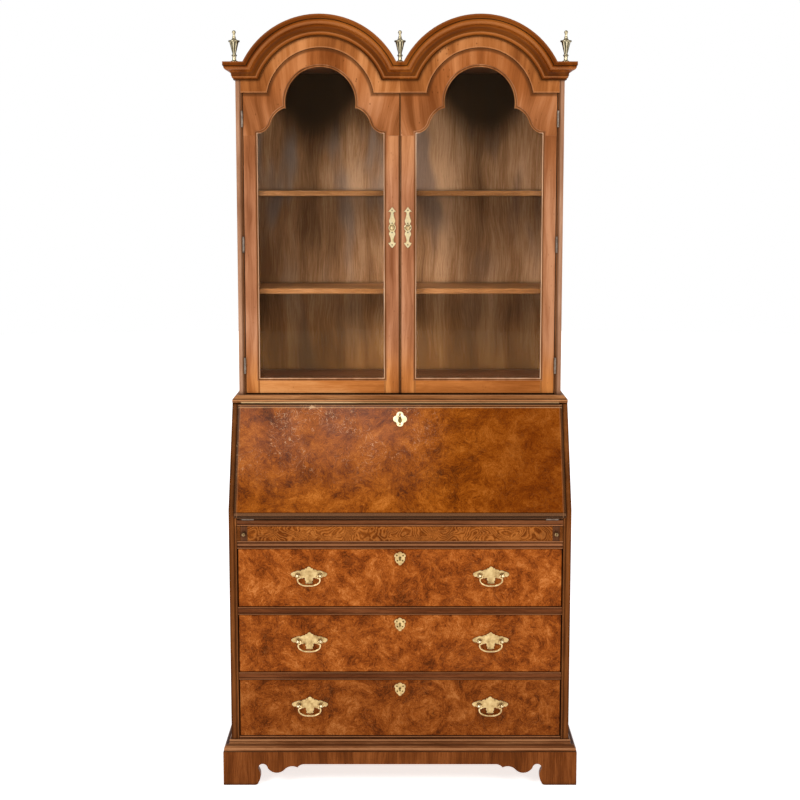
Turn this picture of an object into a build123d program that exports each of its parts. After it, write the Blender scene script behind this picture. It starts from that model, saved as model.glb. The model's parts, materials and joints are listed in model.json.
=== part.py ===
"""Secretary desk: a slant-front chest with drawers under a glazed double-arched bookcase.

Millimetres. X runs to the right, Y to the back, Z up from the floor. The origin is the
middle of the footprint. Every sub-part is written to parts/ under its own node name.
"""
from build123d import *
from math import cos, radians, sin
import os

os.makedirs("parts", exist_ok=True)

# ---------------------------------------------------------------- driving dimensions
overall_depth = 497.0
base_width = 992.0
base_projection = 22.0          # plinth beyond the lower case, at the front and sides
case_width = base_width - 2 * base_projection
cabinet_width = 912.0
side_thickness = 23.0
glue_line = 0.1                 # gap between the pieces that share a node
run_gap = 0.4                   # clearance of a sliding piece

# heights above the floor
apron_z = 60.6
plinth_top = 96.0
moulding_top = 127.0
case_floor = 136.0
rail_tops = (321.0, 508.5, 696.0)
drawer_tops = (300.0, 486.5, 674.5)
strip_top = 737.0
bed_top = 757.5
slant_top = 1063.0
desk_top_z = 1083.5
door_bottom = 1088.0
glass_bottom = 1130.0
glass_shoulder = 1816.0
door_shoulder = 1925.0
cabinet_ceiling = 1999.0
cornice_bottom = 1961.0
cornice_flat = 2009.0

# arches of the bonnet, doors and glass share one centre on each side
arch_x = 221.0
arch_z = 1899.5
cornice_radius = 237.5
cornice_width = 57.0            # of the moulding on the arches, measured radially
cornice_front_out = 38.0        # projection from the frieze
cornice_side_out = 31.5
door_arch_radius = 148.6
glass_arch_radius = 98.4
door_gap = 1.5

# depths, from the lower case's front plane
front_y = -overall_depth / 2 + base_projection
back_y = overall_depth / 2
lower_back_y = back_y - 12.0
cabinet_front_y = front_y + 165.0
cabinet_back_y = front_y + 463.0
cornice_front_y = cabinet_front_y - cornice_front_out
desk_top_front_y = front_y + 138.5
case_in = case_width / 2 - side_thickness          # half the clear width of the lower case
cabinet_out = cabinet_width / 2

# fall lid, which turns about the front top corner of the writing bed
lid_lean = 27.7                 # degrees from upright when shut
lid_length = 332.0
lid_thickness = 20.0
lid_lip = 8.6                   # the part of its thickness that laps over the case sides
lid_width = 916.0
lid_axis_y = front_y - 0.5
lid_axis_z = bed_top

# drawers
drawer_width = 898.0
drawer_front_t = 20.0
drawer_depth = 430.0
drawer_side_t = 12.0
drawer_face_y = front_y + 0.5
pull_x = 253.0
pull_above_middle = 8.5
post_spacing = 63.5
post_out = 11.0                 # bail axis in front of the drawer face
post_head_r = 3.8
bail_wire_r = 2.3
bail_pin_r = 1.15
bail_hole_r = 1.45

# doors
door_out_x = 435.5
door_in_x = 2.2
door_thickness = 20.0
door_pin_x = 438.75
door_pin_y = cabinet_front_y - 2.0
hinge_heights = (1166.0, 1507.0, 1855.0)
hinge_height = 45.0
barrel_r = 3.0
pin_r = 1.2
pin_bore_r = 1.25
leaf_t = 1.8

mirror_signs = {"left": -1, "right": 1}


# ---------------------------------------------------------------- shared helpers
def facing(y):
    """The upright plane at depth y that is seen from the front: local x is X, local y is Z."""
    return Plane.XZ.offset(-y)


def board(x0, x1, y0, y1, z0, z1, mode=Mode.ADD):
    """A rectangular board between two corners, in the part being built."""
    low_x = min(x0, x1)
    with Locations((low_x, y0, z0)):
        Box(abs(x1 - x0), y1 - y0, z1 - z0, align=(Align.MIN, Align.MIN, Align.MIN), mode=mode)


def save(part, name):
    part.label = name
    export_step(part, f"parts/{name}.step")


def arc_outline(lobes):
    """Draw one half of an outline as three-point arcs and close it with its mirror image."""
    with BuildLine() as half:
        for start, middle, end in lobes:
            ThreePointArc(start, middle, end)
    add(half.line)
    mirror(half.line, about=Plane.YZ)


# ---------------------------------------------------------------- lower case
slant_u = (sin(radians(lid_lean)), cos(radians(lid_lean)))       # up the slope, in Y and Z
slant_n = (-slant_u[1], slant_u[0])                              # out of the lid's face
lap_depth = lid_thickness - lid_lip - 0.4                        # case edge behind the lid's lip
slant_run = slant_u[0] / slant_u[1]
slant_base_y = lid_axis_y + lap_depth * slant_n[0]
slant_base_z = lid_axis_z + lap_depth * slant_n[1]
slant_low_z = slant_base_z + (front_y - slant_base_y) / slant_run
slant_high_y = slant_base_y + (slant_top - slant_base_z) * slant_run
side_bead_r = 2.2

for side, sign in mirror_signs.items():
    with BuildPart() as case_side:
        inner_x = sign * case_in
        with BuildSketch(Plane.YZ.offset(inner_x)):
            with BuildLine():
                Polyline(
                    (front_y, plinth_top), (back_y, plinth_top), (back_y, slant_top),
                    (slant_high_y, slant_top), (front_y, slant_low_z), close=True,
                )
            make_face()
        extrude(amount=sign * side_thickness)
        # The bead beside the drawers stops below the open lid.
        with Locations((sign * (case_in + side_bead_r), front_y, (moulding_top + strip_top) / 2)):
            Cylinder(side_bead_r, strip_top - moulding_top - 2)
    save(case_side.part, f"case_side_{side}")

with BuildPart() as case_back:
    board(-case_in, case_in, lower_back_y, back_y, plinth_top, slant_top)
save(case_back.part, "case_back")

# Rails between the drawers have a bead along both edges.
rail_depth = 60.0
rail_bead_r = 2.2
with BuildPart() as drawer_rails:
    for rail_low, rail_high in zip(drawer_tops, rail_tops):
        board(-case_in, case_in, front_y, front_y + rail_depth, rail_low, rail_high)
        for bead_z in (rail_low + rail_bead_r, rail_high - rail_bead_r):
            with Locations((0, front_y, bead_z)):
                Cylinder(rail_bead_r, 2 * case_in, rotation=(0, 90, 0))
    board(-case_in, case_in, front_y, front_y + drawer_front_t, plinth_top, case_floor)
    with Locations((0, front_y, case_floor - rail_bead_r)):
        Cylinder(rail_bead_r, 2 * case_in, rotation=(0, 90, 0))
save(drawer_rails.part, "drawer_rails")

dust_board_t = 10.0
with BuildPart() as dust_boards:
    for rail_high in rail_tops:
        board(-case_in, case_in, front_y + rail_depth + glue_line, lower_back_y,
              rail_high - dust_board_t, rail_high)
    board(-case_in, case_in, front_y + drawer_front_t + glue_line, lower_back_y,
          case_floor - dust_board_t, case_floor)
save(dust_boards.part, "dust_boards")

# ---------------------------------------------------------------- writing bed and desk top
lid_hinge_x = 421.0
lid_hinge_w = 34.0
lid_leaf_reach = 22.0
barrel_room = 0.4
desk_top_chamfer = 11.0
with BuildPart() as writing_bed:
    board(-case_in, case_in, front_y, lower_back_y, strip_top + 0.5, bed_top)
    for sign in mirror_signs.values():
        hinge_x = sign * lid_hinge_x
        with Locations((hinge_x, lid_axis_y, lid_axis_z)):
            Cylinder(barrel_r + barrel_room, lid_hinge_w + 1, rotation=(0, 90, 0), mode=Mode.SUBTRACT)
        board(hinge_x - lid_hinge_w / 2 - 0.5, hinge_x + lid_hinge_w / 2 + 0.5, front_y,
              front_y + lid_leaf_reach, bed_top - leaf_t - glue_line, bed_top, mode=Mode.SUBTRACT)
    # A flush bead along the lower front edge, clear of the open lid.
    board(-case_in, case_in, front_y, front_y + 1.5, strip_top + 4.8, strip_top + 5.8,
          mode=Mode.SUBTRACT)
    fillet(writing_bed.edges().filter_by(Axis.X).group_by(Axis.Z)[0].sort_by(Axis.Y)[0], radius=2)
save(writing_bed.part, "writing_bed")

with BuildPart() as desk_top:
    board(-case_width / 2, case_width / 2, desk_top_front_y, back_y, slant_top, desk_top_z)
    # Chamfered along the front and the ends, with a softer lower edge.
    top_edges = desk_top.edges().group_by(Axis.Z)[-1]
    chamfer(top_edges.sort_by(Axis.Y)[:-1], length=desk_top_chamfer)
    fillet(desk_top.edges().group_by(Axis.Y)[0].filter_by(Axis.X).sort_by(Axis.Z)[0], radius=3.0)
save(desk_top.part, "desk_top")

# ---------------------------------------------------------------- lopers and their guides
loper_w = 18.0
loper_out_x = 441.0
loper_length = 400.0
loper_low = rail_tops[2] + run_gap
loper_high = strip_top - run_gap
loper_in_x = loper_out_x - loper_w
loper_gap = 0.7
loper_knob_r = 6.4
with BuildPart() as loper_strip:
    strip_x = loper_in_x - loper_gap
    board(-strip_x, strip_x, front_y, front_y + drawer_front_t, rail_tops[2], strip_top)
save(loper_strip.part, "loper_strip")

with BuildPart() as loper_guides:
    for sign in mirror_signs.values():
        guide_y = front_y + drawer_front_t + glue_line
        board(sign * (loper_in_x - loper_gap - 12), sign * (loper_in_x - loper_gap), guide_y,
              lower_back_y, rail_tops[2], strip_top)
        board(sign * (loper_out_x + loper_gap), sign * case_in, front_y, lower_back_y,
              rail_tops[2], strip_top)
save(loper_guides.part, "loper_guides")


def round_knob(x, y, z, radius):
    """A small turned knob that stands in front of the face at depth y."""
    with Locations((x, y - radius * 0.7, z)):
        Cylinder(radius * 0.45, radius * 1.4, rotation=(90, 0, 0))
    with Locations((x, y - radius * 1.35, z)):
        Sphere(radius)
    with Locations((x, y - radius * 0.1, z)):
        Cylinder(radius * 0.8, radius * 0.2, rotation=(90, 0, 0))


for side, sign in mirror_signs.items():
    loper_x = sign * (loper_out_x - loper_w / 2)
    with BuildPart() as loper:
        board(loper_x - loper_w / 2, loper_x + loper_w / 2, front_y, front_y + loper_length,
              loper_low, loper_high)
        round_knob(loper_x, front_y - glue_line, (loper_low + loper_high) / 2, loper_knob_r)
    save(loper.part, f"loper_{side}")

# ---------------------------------------------------------------- base
moulding_out = base_projection - 2.0
moulding_rise = moulding_top - plinth_top


def base_moulding_outline(face, outward):
    """Ogee section against an upright face: local x grows outward from the face, y is up."""
    def at(reach, rise):
        return (face + outward * reach, plinth_top + rise)
    with BuildLine() as outline:
        Polyline(at(3, moulding_rise), at(0, moulding_rise), at(0, 0), at(moulding_out, 0),
                 at(moulding_out, 9))
        ThreePointArc(at(moulding_out, 9), at(17.5, 14.6), at(12, 17))
        ThreePointArc(at(12, 17), at(6.5, 19.4), at(5, 25))
        ThreePointArc(at(5, 25), at(5.6, 28.6), at(3, moulding_rise))
    make_face(outline.edges())


front_moulding_half = case_width / 2 + moulding_out
with BuildPart() as moulding_across:
    with BuildSketch(Plane.YZ.offset(-front_moulding_half)):
        base_moulding_outline(front_y, -1)
    extrude(amount=2 * front_moulding_half)
with BuildPart() as moulding_sides:
    for sign in mirror_signs.values():
        with BuildSketch(facing(front_y - moulding_out)):
            base_moulding_outline(sign * case_width / 2, sign)
        extrude(amount=-(overall_depth - base_projection + moulding_out))
with BuildPart() as moulding_core:
    board(-case_width / 2, case_width / 2, front_y - moulding_out, front_y, plinth_top, moulding_top)
with BuildPart() as base_moulding:
    # The front length ends in small returns, so that the corners are mitred to the eye.
    add(moulding_sides.part)
    add(moulding_core.part)
    add(moulding_across.part, mode=Mode.INTERSECT)
    for sign in mirror_signs.values():
        with BuildSketch(facing(front_y + glue_line)):
            base_moulding_outline(sign * case_width / 2, sign)
        extrude(amount=-(overall_depth - base_projection - glue_line))
save(base_moulding.part, "base_moulding")


def bracket_outline(outer, inward, half_length):
    """Half of an apron with a scrolled bracket foot, drawn from the foot's outer edge."""
    def at(reach, rise):
        return (outer + inward * reach, rise)
    with BuildLine() as outline:
        Line(at(0, 0), at(88, 0))
        ThreePointArc(at(88, 0), at(95.8, 3.2), at(98.6, 8.15))
        ThreePointArc(at(98.6, 8.15), at(104.2, 28), at(97, 49))
        ThreePointArc(at(97, 49), at(111.8, 61.5), at(124, 50))
        ThreePointArc(at(124, 50), at(143, 36.3), at(171, 44.5))
        ThreePointArc(at(171, 44.5), at(190, 54.5), at(207.9, 51))
        ThreePointArc(at(207.9, 51), at(215, 57.5), at(224.8, apron_z))
        Polyline(at(224.8, apron_z), at(half_length, apron_z), at(half_length, plinth_top),
                 at(0, plinth_top), at(0, 0))
    make_face(outline.edges())


plinth_t = base_projection
plinth_front_y = front_y - base_projection
with BuildPart() as bracket_base_front:
    with BuildSketch(facing(plinth_front_y)):
        for sign in mirror_signs.values():
            bracket_outline(sign * base_width / 2, -sign, base_width / 2)
    extrude(amount=-plinth_t)
save(bracket_base_front.part, "bracket_base_front")

# The sides have the same bracket foot at the front and a plain one at the back.
side_foot_back = 98.0
with BuildPart() as bracket_base_sides:
    for sign in mirror_signs.values():
        with BuildSketch(Plane.YZ.offset(sign * (base_width / 2 - plinth_t))):
            bracket_outline(plinth_front_y, 1, overall_depth)
        extrude(amount=sign * plinth_t)
        with BuildSketch(Plane.YZ.offset(sign * (base_width / 2 - plinth_t))):
            with BuildLine():
                Polyline((back_y - side_foot_back - 30, apron_z), (back_y, apron_z), (back_y, 0),
                         (back_y - side_foot_back, 0), (back_y - side_foot_back, 30))
                ThreePointArc((back_y - side_foot_back, 30), (back_y - side_foot_back - 9, 52),
                              (back_y - side_foot_back - 30, apron_z))
            make_face()
        extrude(amount=sign * plinth_t)
    board(-base_width / 2, base_width / 2, plinth_front_y, front_y + glue_line, 0, plinth_top,
          mode=Mode.SUBTRACT)
save(bracket_base_sides.part, "bracket_base_sides")

ledger_w = 30.0
ledger_h = 22.0
block_w = 44.0
with BuildPart() as plinth_frame:
    inside_x = base_width / 2 - plinth_t - glue_line
    ledger_y = front_y + ledger_w + glue_line
    for sign in mirror_signs.values():
        board(sign * (inside_x - ledger_w), sign * inside_x, ledger_y,
              back_y - ledger_w - glue_line, plinth_top - ledger_h, plinth_top)
        for block_y in (front_y + glue_line, back_y - block_w):
            board(sign * (inside_x - block_w), sign * inside_x, block_y, block_y + block_w,
                  0, plinth_top - ledger_h - glue_line)
    board(-inside_x, inside_x, front_y + glue_line, front_y + ledger_w, plinth_top - ledger_h,
          plinth_top)
    board(-inside_x, inside_x, back_y - ledger_w, back_y, plinth_top - ledger_h, plinth_top)
save(plinth_frame.part, "plinth_frame")

# ---------------------------------------------------------------- brass outlines
with BuildSketch() as bat_wing:
    with BuildLine():
        arc_outline((
            ((0, 23.7), (4.7, 21), (6.5, 17.8)),
            ((6.5, 17.8), (10.3, 18.2), (11.5, 14.6)),
            ((11.5, 14.6), (17.5, 15), (23.5, 11.3)),
            ((23.5, 11.3), (31, 12.2), (37.5, 9.6)),
            ((37.5, 9.6), (43, 8.2), (47, 6)),
            ((47, 6), (50.2, 2.3), (47.8, -2)),
            ((47.8, -2), (43.8, -5), (39.2, -3.4)),
            ((39.2, -3.4), (37.9, -6), (35, -7.4)),
            ((35, -7.4), (30.5, -9.4), (26, -7.2)),
            ((26, -7.2), (20.5, -9.8), (15.3, -8)),
            ((15.3, -8), (12.3, -8.3), (10.6, -10.5)),
            ((10.6, -10.5), (11.3, -14), (8.6, -17.5)),
            ((8.6, -17.5), (8.9, -20), (10, -22)),
            ((10, -22), (8.4, -24.3), (5.5, -24)),
            ((5.5, -24), (3, -25), (0, -25.2)),
        ))
    make_face()

with BuildSketch() as crest:
    with BuildLine():
        arc_outline((
            ((0, 19), (4, 17.5), (6.5, 14)),
            ((6.5, 14), (10.5, 15), (13.5, 12)),
            ((13.5, 12), (15.8, 7.5), (12.5, 3)),
            ((12.5, 3), (13.8, -3), (11.5, -8)),
            ((11.5, -8), (8.5, -12.5), (5, -14)),
            ((5, -14), (3, -18), (0, -19)),
        ))
    make_face()

with BuildSketch() as keyhole:
    with Locations((0, 2.2)):
        Circle(2.2)
    with Locations((0, -1.6)):
        Rectangle(2.2, 7)

with BuildSketch() as door_plate:
    with BuildLine():
        arc_outline((
            ((0, 57), (5.4, 50.4), (11, 43.4)),
            ((11, 43.4), (6.4, 44), (3.6, 40.5)),
            ((3.6, 40.5), (4.9, 31), (8, 22)),
            ((8, 22), (8.3, 16), (4.6, 9.8)),
            ((4.6, 9.8), (10.2, 0), (4.6, -9.8)),
            ((4.6, -9.8), (8.6, -15.5), (8.6, -20)),
            ((8.6, -20), (4.9, -28), (3.6, -37)),
            ((3.6, -37), (6, -41.8), (11, -42.6)),
            ((11, -42.6), (6.3, -50), (0, -57)),
        ))
    make_face()

# ---------------------------------------------------------------- drawers
plate_t = 1.8
bail_drop = 28.6
bail_half_w = 31.0
bail_curl_x = 23.5
bail_start_x = 27.6
drawer_lows = (case_floor,) + rail_tops[:2]
for number, (low_z, high_z) in enumerate(zip(reversed(drawer_lows), reversed(drawer_tops)), start=1):
    front_low = low_z + 1.0
    front_high = high_z - 1.0
    box_low = low_z + run_gap
    box_high = high_z - 14.0
    box_front_y = drawer_face_y + drawer_front_t + glue_line
    box_back_y = drawer_face_y + drawer_depth
    box_x = case_in - 1.0
    pull_z = (low_z + high_z) / 2 + pull_above_middle
    axis_y = drawer_face_y - post_out

    with BuildPart() as drawer_front:
        board(-drawer_width / 2, drawer_width / 2, drawer_face_y, drawer_face_y + drawer_front_t,
              front_low, front_high)
        fillet(drawer_front.faces().sort_by(Axis.Y)[0].edges(), radius=1.5)
    save(drawer_front.part, f"drawer_{number}_front")

    with BuildPart() as drawer_box:
        for sign in mirror_signs.values():
            board(sign * (box_x - drawer_side_t), sign * box_x, box_front_y, box_back_y,
                  box_low, box_high)
        inner_x = box_x - drawer_side_t - glue_line
        board(-inner_x, inner_x, box_back_y - drawer_side_t, box_back_y, box_low + 10, box_high)
        board(-inner_x, inner_x, box_front_y, box_back_y, box_low + 2, box_low + 10 - glue_line)
    save(drawer_box.part, f"drawer_{number}_box")

    crest_z = high_z - 28.0
    with BuildPart() as drawer_brasses:
        with BuildSketch(facing(drawer_face_y)):
            for sign in mirror_signs.values():
                with Locations((sign * pull_x, pull_z)):
                    add(bat_wing.sketch)
            with Locations((0, crest_z)):
                add(crest.sketch)
                add(keyhole.sketch, mode=Mode.SUBTRACT)
        extrude(amount=plate_t)
        for sign in mirror_signs.values():
            for post_sign in mirror_signs.values():
                post_x = sign * pull_x + post_sign * post_spacing / 2
                with Locations((post_x, drawer_face_y - post_out / 2, pull_z)):
                    Cylinder(2.6, post_out, rotation=(90, 0, 0))
                with Locations((post_x, drawer_face_y - plate_t - 1, pull_z)):
                    Cylinder(5, 2, rotation=(90, 0, 0))
                with Locations((post_x, axis_y, pull_z)):
                    # Turned so that the sphere's seam is clear of the hole and the post.
                    Sphere(post_head_r, rotation=(0, 0, -90))
                # Blind hole on the inner side of the post's head, for the bail's end.
                with Locations((post_x - post_sign * post_head_r / 2, axis_y, pull_z)):
                    Cylinder(bail_hole_r, post_head_r + 2, rotation=(0, 90, 0),
                             mode=Mode.SUBTRACT)
    save(drawer_brasses.part, f"drawer_{number}_brasses")

    for side, sign in mirror_signs.items():
        bail_x = sign * pull_x
        with BuildPart() as bail:
            with BuildLine(Plane((bail_x, axis_y, pull_z), (1, 0, 0), (0, -1, 0))) as wire:
                FilletPolyline(
                    (-bail_start_x, 0), (-bail_curl_x, 0), (-bail_curl_x, -7.5),
                    (-bail_half_w, -7.5), (-bail_half_w, -19.5), (-15, -bail_drop),
                    (15, -bail_drop), (bail_half_w, -19.5), (bail_half_w, -7.5),
                    (bail_curl_x, -7.5), (bail_curl_x, 0), (bail_start_x, 0),
                    radius=(3, 4.2, 3.1, 14.5, 36, 36, 14.5, 3.1, 4.2, 3),
                )
            with BuildSketch(Plane((bail_x - bail_start_x, axis_y, pull_z), (0, 1, 0), (1, 0, 0))):
                Circle(bail_wire_r)
            sweep(path=wire.line)
            for post_sign in mirror_signs.values():
                with Locations((bail_x + post_sign * (bail_start_x + 0.9), axis_y, pull_z)):
                    Cylinder(bail_pin_r, 3.4, rotation=(0, 90, 0))
        save(bail.part, f"bail_{number}_{side}")

# ---------------------------------------------------------------- fall lid
lid_plane = Plane((0, lid_axis_y, lid_axis_z), x_dir=(1, 0, 0),
                  z_dir=(0, slant_n[0], slant_n[1]))     # local y runs up the slope
lid_inner_w = 2 * case_in - 2
with BuildPart() as lid_panel:
    with BuildSketch(lid_plane):
        with Locations((0, lid_length / 2)):
            Rectangle(lid_inner_w, lid_length)
    extrude(amount=lid_thickness - lid_lip)
    with BuildSketch(lid_plane.offset(lid_thickness - lid_lip)):
        with Locations((0, lid_length / 2)):
            Rectangle(lid_width, lid_length)
    extrude(amount=lid_lip)
    outer_face = lid_panel.faces().sort_by(Axis(lid_plane.origin, lid_plane.z_dir))[-1]
    fillet(outer_face.edges(), radius=5.0)
    for sign in mirror_signs.values():
        with Locations((sign * lid_hinge_x, lid_axis_y, lid_axis_z)):
            Cylinder(barrel_r + barrel_room, lid_hinge_w + 1, rotation=(0, 90, 0), mode=Mode.SUBTRACT)
        with BuildSketch(lid_plane):
            with Locations((sign * lid_hinge_x, lid_leaf_reach / 2)):
                Rectangle(lid_hinge_w + 1, lid_leaf_reach)
        extrude(amount=leaf_t + glue_line, mode=Mode.SUBTRACT)
save(lid_panel.part, "lid_panel")

lid_leaf_start = barrel_r + barrel_room + 0.2
barrel_parts = 5
knuckle_gap = 0.3


def knuckle_spans(length, odd):
    """The stretches of a hinge barrel that belong to one leaf, from the barrel's middle."""
    pitch = length / barrel_parts
    first = 1 if odd else 0
    return [(-length / 2 + pitch * index + knuckle_gap / 2, pitch - knuckle_gap)
            for index in range(first, barrel_parts, 2)]


def lid_hinge_half(hinge_x, leaf_frame, odd):
    """One leaf of a lid hinge: leaf_frame's local y runs from the pin and z into the wood."""
    with BuildSketch(leaf_frame) as leaf:
        with Locations((hinge_x, (lid_leaf_start + lid_leaf_reach - 0.5) / 2)):
            Rectangle(lid_hinge_w, lid_leaf_reach - 0.5 - lid_leaf_start)
        for start, length in knuckle_spans(lid_hinge_w, odd):
            with Locations((hinge_x + start + length / 2, lid_leaf_start / 2)):
                Rectangle(length, lid_leaf_start + 0.4)
    extrude(leaf.sketch, amount=leaf_t)
    for start, length in knuckle_spans(lid_hinge_w, odd):
        with Locations((hinge_x + start + length / 2, lid_axis_y, lid_axis_z)):
            Cylinder(barrel_r, length, rotation=(0, 90, 0))
            if odd:
                Cylinder(pin_bore_r, length + 1, rotation=(0, 90, 0), mode=Mode.SUBTRACT)


with BuildPart() as bed_hinge_leaves:
    for sign in mirror_signs.values():
        lid_hinge_half(sign * lid_hinge_x,
                       Plane((0, lid_axis_y, lid_axis_z), (-1, 0, 0), (0, 0, -1)), odd=False)
        with Locations((sign * lid_hinge_x, lid_axis_y, lid_axis_z)):
            Cylinder(pin_r, lid_hinge_w - knuckle_gap, rotation=(0, 90, 0))
save(bed_hinge_leaves.part, "bed_hinge_leaves")

with BuildPart() as lid_hinge_leaves:
    for sign in mirror_signs.values():
        lid_hinge_half(sign * lid_hinge_x, lid_plane, odd=True)
save(lid_hinge_leaves.part, "lid_hinge_leaves")

lid_crest_up = lid_length - 46.0
crest_plane = Plane(lid_plane.from_local_coords((0, lid_crest_up, lid_thickness)),
                    x_dir=(1, 0, 0), z_dir=lid_plane.z_dir)
cover_plane = crest_plane.offset(plate_t + 0.3)
cover_pin_up = 7.5
cover_pin_r = 1.5
with BuildPart() as lid_escutcheon:
    with BuildSketch(crest_plane):
        for lobe_x, lobe_y in ((9.5, 0), (-9.5, 0), (0, 12), (0, -12)):
            with Locations((lobe_x, lobe_y)):
                Circle(10)
        add(keyhole.sketch, mode=Mode.SUBTRACT)
    extrude(amount=plate_t)
    with BuildSketch(crest_plane):
        with Locations((0, cover_pin_up)):
            Circle(cover_pin_r)
    extrude(amount=plate_t + 3.0)
    with BuildSketch(crest_plane.offset(plate_t + 2.3)):
        with Locations((0, cover_pin_up)):
            Circle(cover_pin_r + 0.9)
    extrude(amount=0.9)
save(lid_escutcheon.part, "lid_escutcheon")

with BuildPart() as lid_keyhole_cover:
    with BuildSketch(cover_plane):
        with BuildLine():
            arc_outline((
                ((0, cover_pin_up + 4), (3.2, cover_pin_up + 2), (3.4, cover_pin_up - 1.5)),
                ((3.4, cover_pin_up - 1.5), (3.9, 1), (5.6, -3)),
                ((5.6, -3), (5, -8), (0, -12.5)),
            ))
        make_face()
        with Locations((0, cover_pin_up)):
            Circle(cover_pin_r + 0.06, mode=Mode.SUBTRACT)
    extrude(amount=1.6)
save(lid_keyhole_cover.part, "lid_keyhole_cover")

# ---------------------------------------------------------------- pigeonholes behind the lid
gallery_front_y = front_y + 200.0
gallery_board = 8.0
gallery_shelf_low = 836.0
gallery_bays = 6
gallery_drawers = 3
gallery_in = case_in - glue_line
with BuildPart() as gallery_frame:
    board(-gallery_in, gallery_in, gallery_front_y, lower_back_y - glue_line,
          gallery_shelf_low, gallery_shelf_low + gallery_board)
    bay = 2 * gallery_in / gallery_bays
    for index in range(1, gallery_bays):
        divider_x = -gallery_in + bay * index
        board(divider_x - gallery_board / 2, divider_x + gallery_board / 2, gallery_front_y + 4,
              lower_back_y - glue_line, gallery_shelf_low + gallery_board + glue_line,
              slant_top - glue_line)
    drawer_bay = 2 * gallery_in / gallery_drawers
    for index in range(1, gallery_drawers):
        divider_x = -gallery_in + drawer_bay * index
        board(divider_x - gallery_board / 2, divider_x + gallery_board / 2, gallery_front_y,
              lower_back_y - glue_line, bed_top, gallery_shelf_low - glue_line)
save(gallery_frame.part, "gallery_frame")

small_depth = 200.0
small_side = 6.0
small_low = bed_top + run_gap
small_high = gallery_shelf_low - run_gap
for number in range(1, gallery_drawers + 1):
    middle_x = -gallery_in + drawer_bay * (number - 0.5)
    half_w = drawer_bay / 2 - gallery_board / 2 - run_gap
    with BuildPart() as gallery_drawer:
        board(middle_x - half_w, middle_x + half_w, gallery_front_y, gallery_front_y + 10,
              small_low, small_high)
        for sign in mirror_signs.values():
            board(middle_x + sign * (half_w - small_side), middle_x + sign * half_w,
                  gallery_front_y + 10 + glue_line, gallery_front_y + small_depth,
                  small_low, small_high - 6)
        within = half_w - small_side - glue_line
        board(middle_x - within, middle_x + within, gallery_front_y + small_depth - small_side,
              gallery_front_y + small_depth, small_low + small_side, small_high - 6)
        board(middle_x - within, middle_x + within, gallery_front_y + 10 + glue_line,
              gallery_front_y + small_depth, small_low, small_low + small_side - glue_line)
        round_knob(middle_x, gallery_front_y - glue_line, (small_low + small_high) / 2, 6.0)
    save(gallery_drawer.part, f"gallery_drawer_{number}")

# ---------------------------------------------------------------- upper cabinet
stile_w = 14.0
stop_w = 20.0
stop_y = cabinet_front_y + door_thickness + 2.0
shelf_zs = {"lower": 1375.0, "upper": 1650.0}
shelf_t = 15.0
shelf_front_y = cabinet_front_y + 30.0
pin_r_shelf = 2.5
pin_ys = (shelf_front_y + 35, cabinet_back_y - 45)
shelf_pin_zs = [z - shelf_t / 2 - pin_r_shelf for z in shelf_zs.values()]

for side, sign in mirror_signs.items():
    with BuildPart() as cabinet_side:
        board(sign * (cabinet_out - stile_w), sign * cabinet_out, cabinet_front_y, cabinet_back_y,
              desk_top_z, cabinet_ceiling)
        board(sign * (cabinet_out - stop_w), sign * cabinet_out, stop_y, cabinet_back_y,
              desk_top_z, cabinet_ceiling)
        for pin_y in pin_ys:
            for pin_z in shelf_pin_zs:
                with Locations((sign * (cabinet_out - stop_w), pin_y, pin_z)):
                    Cylinder(pin_r_shelf, 16, rotation=(0, 90, 0), mode=Mode.SUBTRACT)
    save(cabinet_side.part, f"cabinet_side_{side}")

cabinet_in = cabinet_out - stop_w
with BuildPart() as cabinet_bottom:
    board(-cabinet_in, cabinet_in, stop_y, cabinet_back_y - 8, 1104, 1122)
    for skirt_y in (stop_y, cabinet_back_y - 28):
        board(-cabinet_in, cabinet_in, skirt_y, skirt_y + 20, desk_top_z, 1104 - glue_line)
save(cabinet_bottom.part, "cabinet_bottom")

with BuildPart() as cabinet_top:
    board(-cabinet_out, cabinet_out, stop_y, cabinet_back_y, cabinet_ceiling, cabinet_ceiling + 13)
save(cabinet_top.part, "cabinet_top")

with BuildPart() as cabinet_back:
    board(-cabinet_in, cabinet_in, cabinet_back_y - 8, cabinet_back_y, desk_top_z, cabinet_ceiling)
save(cabinet_back.part, "cabinet_back")

for name, shelf_z in shelf_zs.items():
    with BuildPart() as shelf:
        board(-cabinet_in + 1, cabinet_in - 1, shelf_front_y, cabinet_back_y - 9,
              shelf_z - shelf_t / 2, shelf_z + shelf_t / 2)
        fillet(shelf.edges().group_by(Axis.Y)[0].filter_by(Axis.X), radius=2.5)
    save(shelf.part, f"shelf_{name}")

with BuildPart() as shelf_pins:
    for sign in mirror_signs.values():
        for pin_y in pin_ys:
            for pin_z in shelf_pin_zs:
                with Locations((sign * cabinet_in, pin_y, pin_z)):
                    Cylinder(pin_r_shelf - 0.05, 15.6, rotation=(0, 90, 0))
save(shelf_pins.part, "shelf_pins")

# ---------------------------------------------------------------- frieze and cornice
bonnet_t = stop_y - cabinet_front_y - glue_line


def bonnet_outline(inset):
    """Two arches rising from a flat band, set in by the given distance."""
    flat_z = cornice_flat - inset * (cornice_flat - cornice_bottom) / cornice_width
    for sign in mirror_signs.values():
        with Locations((sign * arch_x, arch_z)):
            Circle(cornice_radius - inset)
    return flat_z


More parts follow.
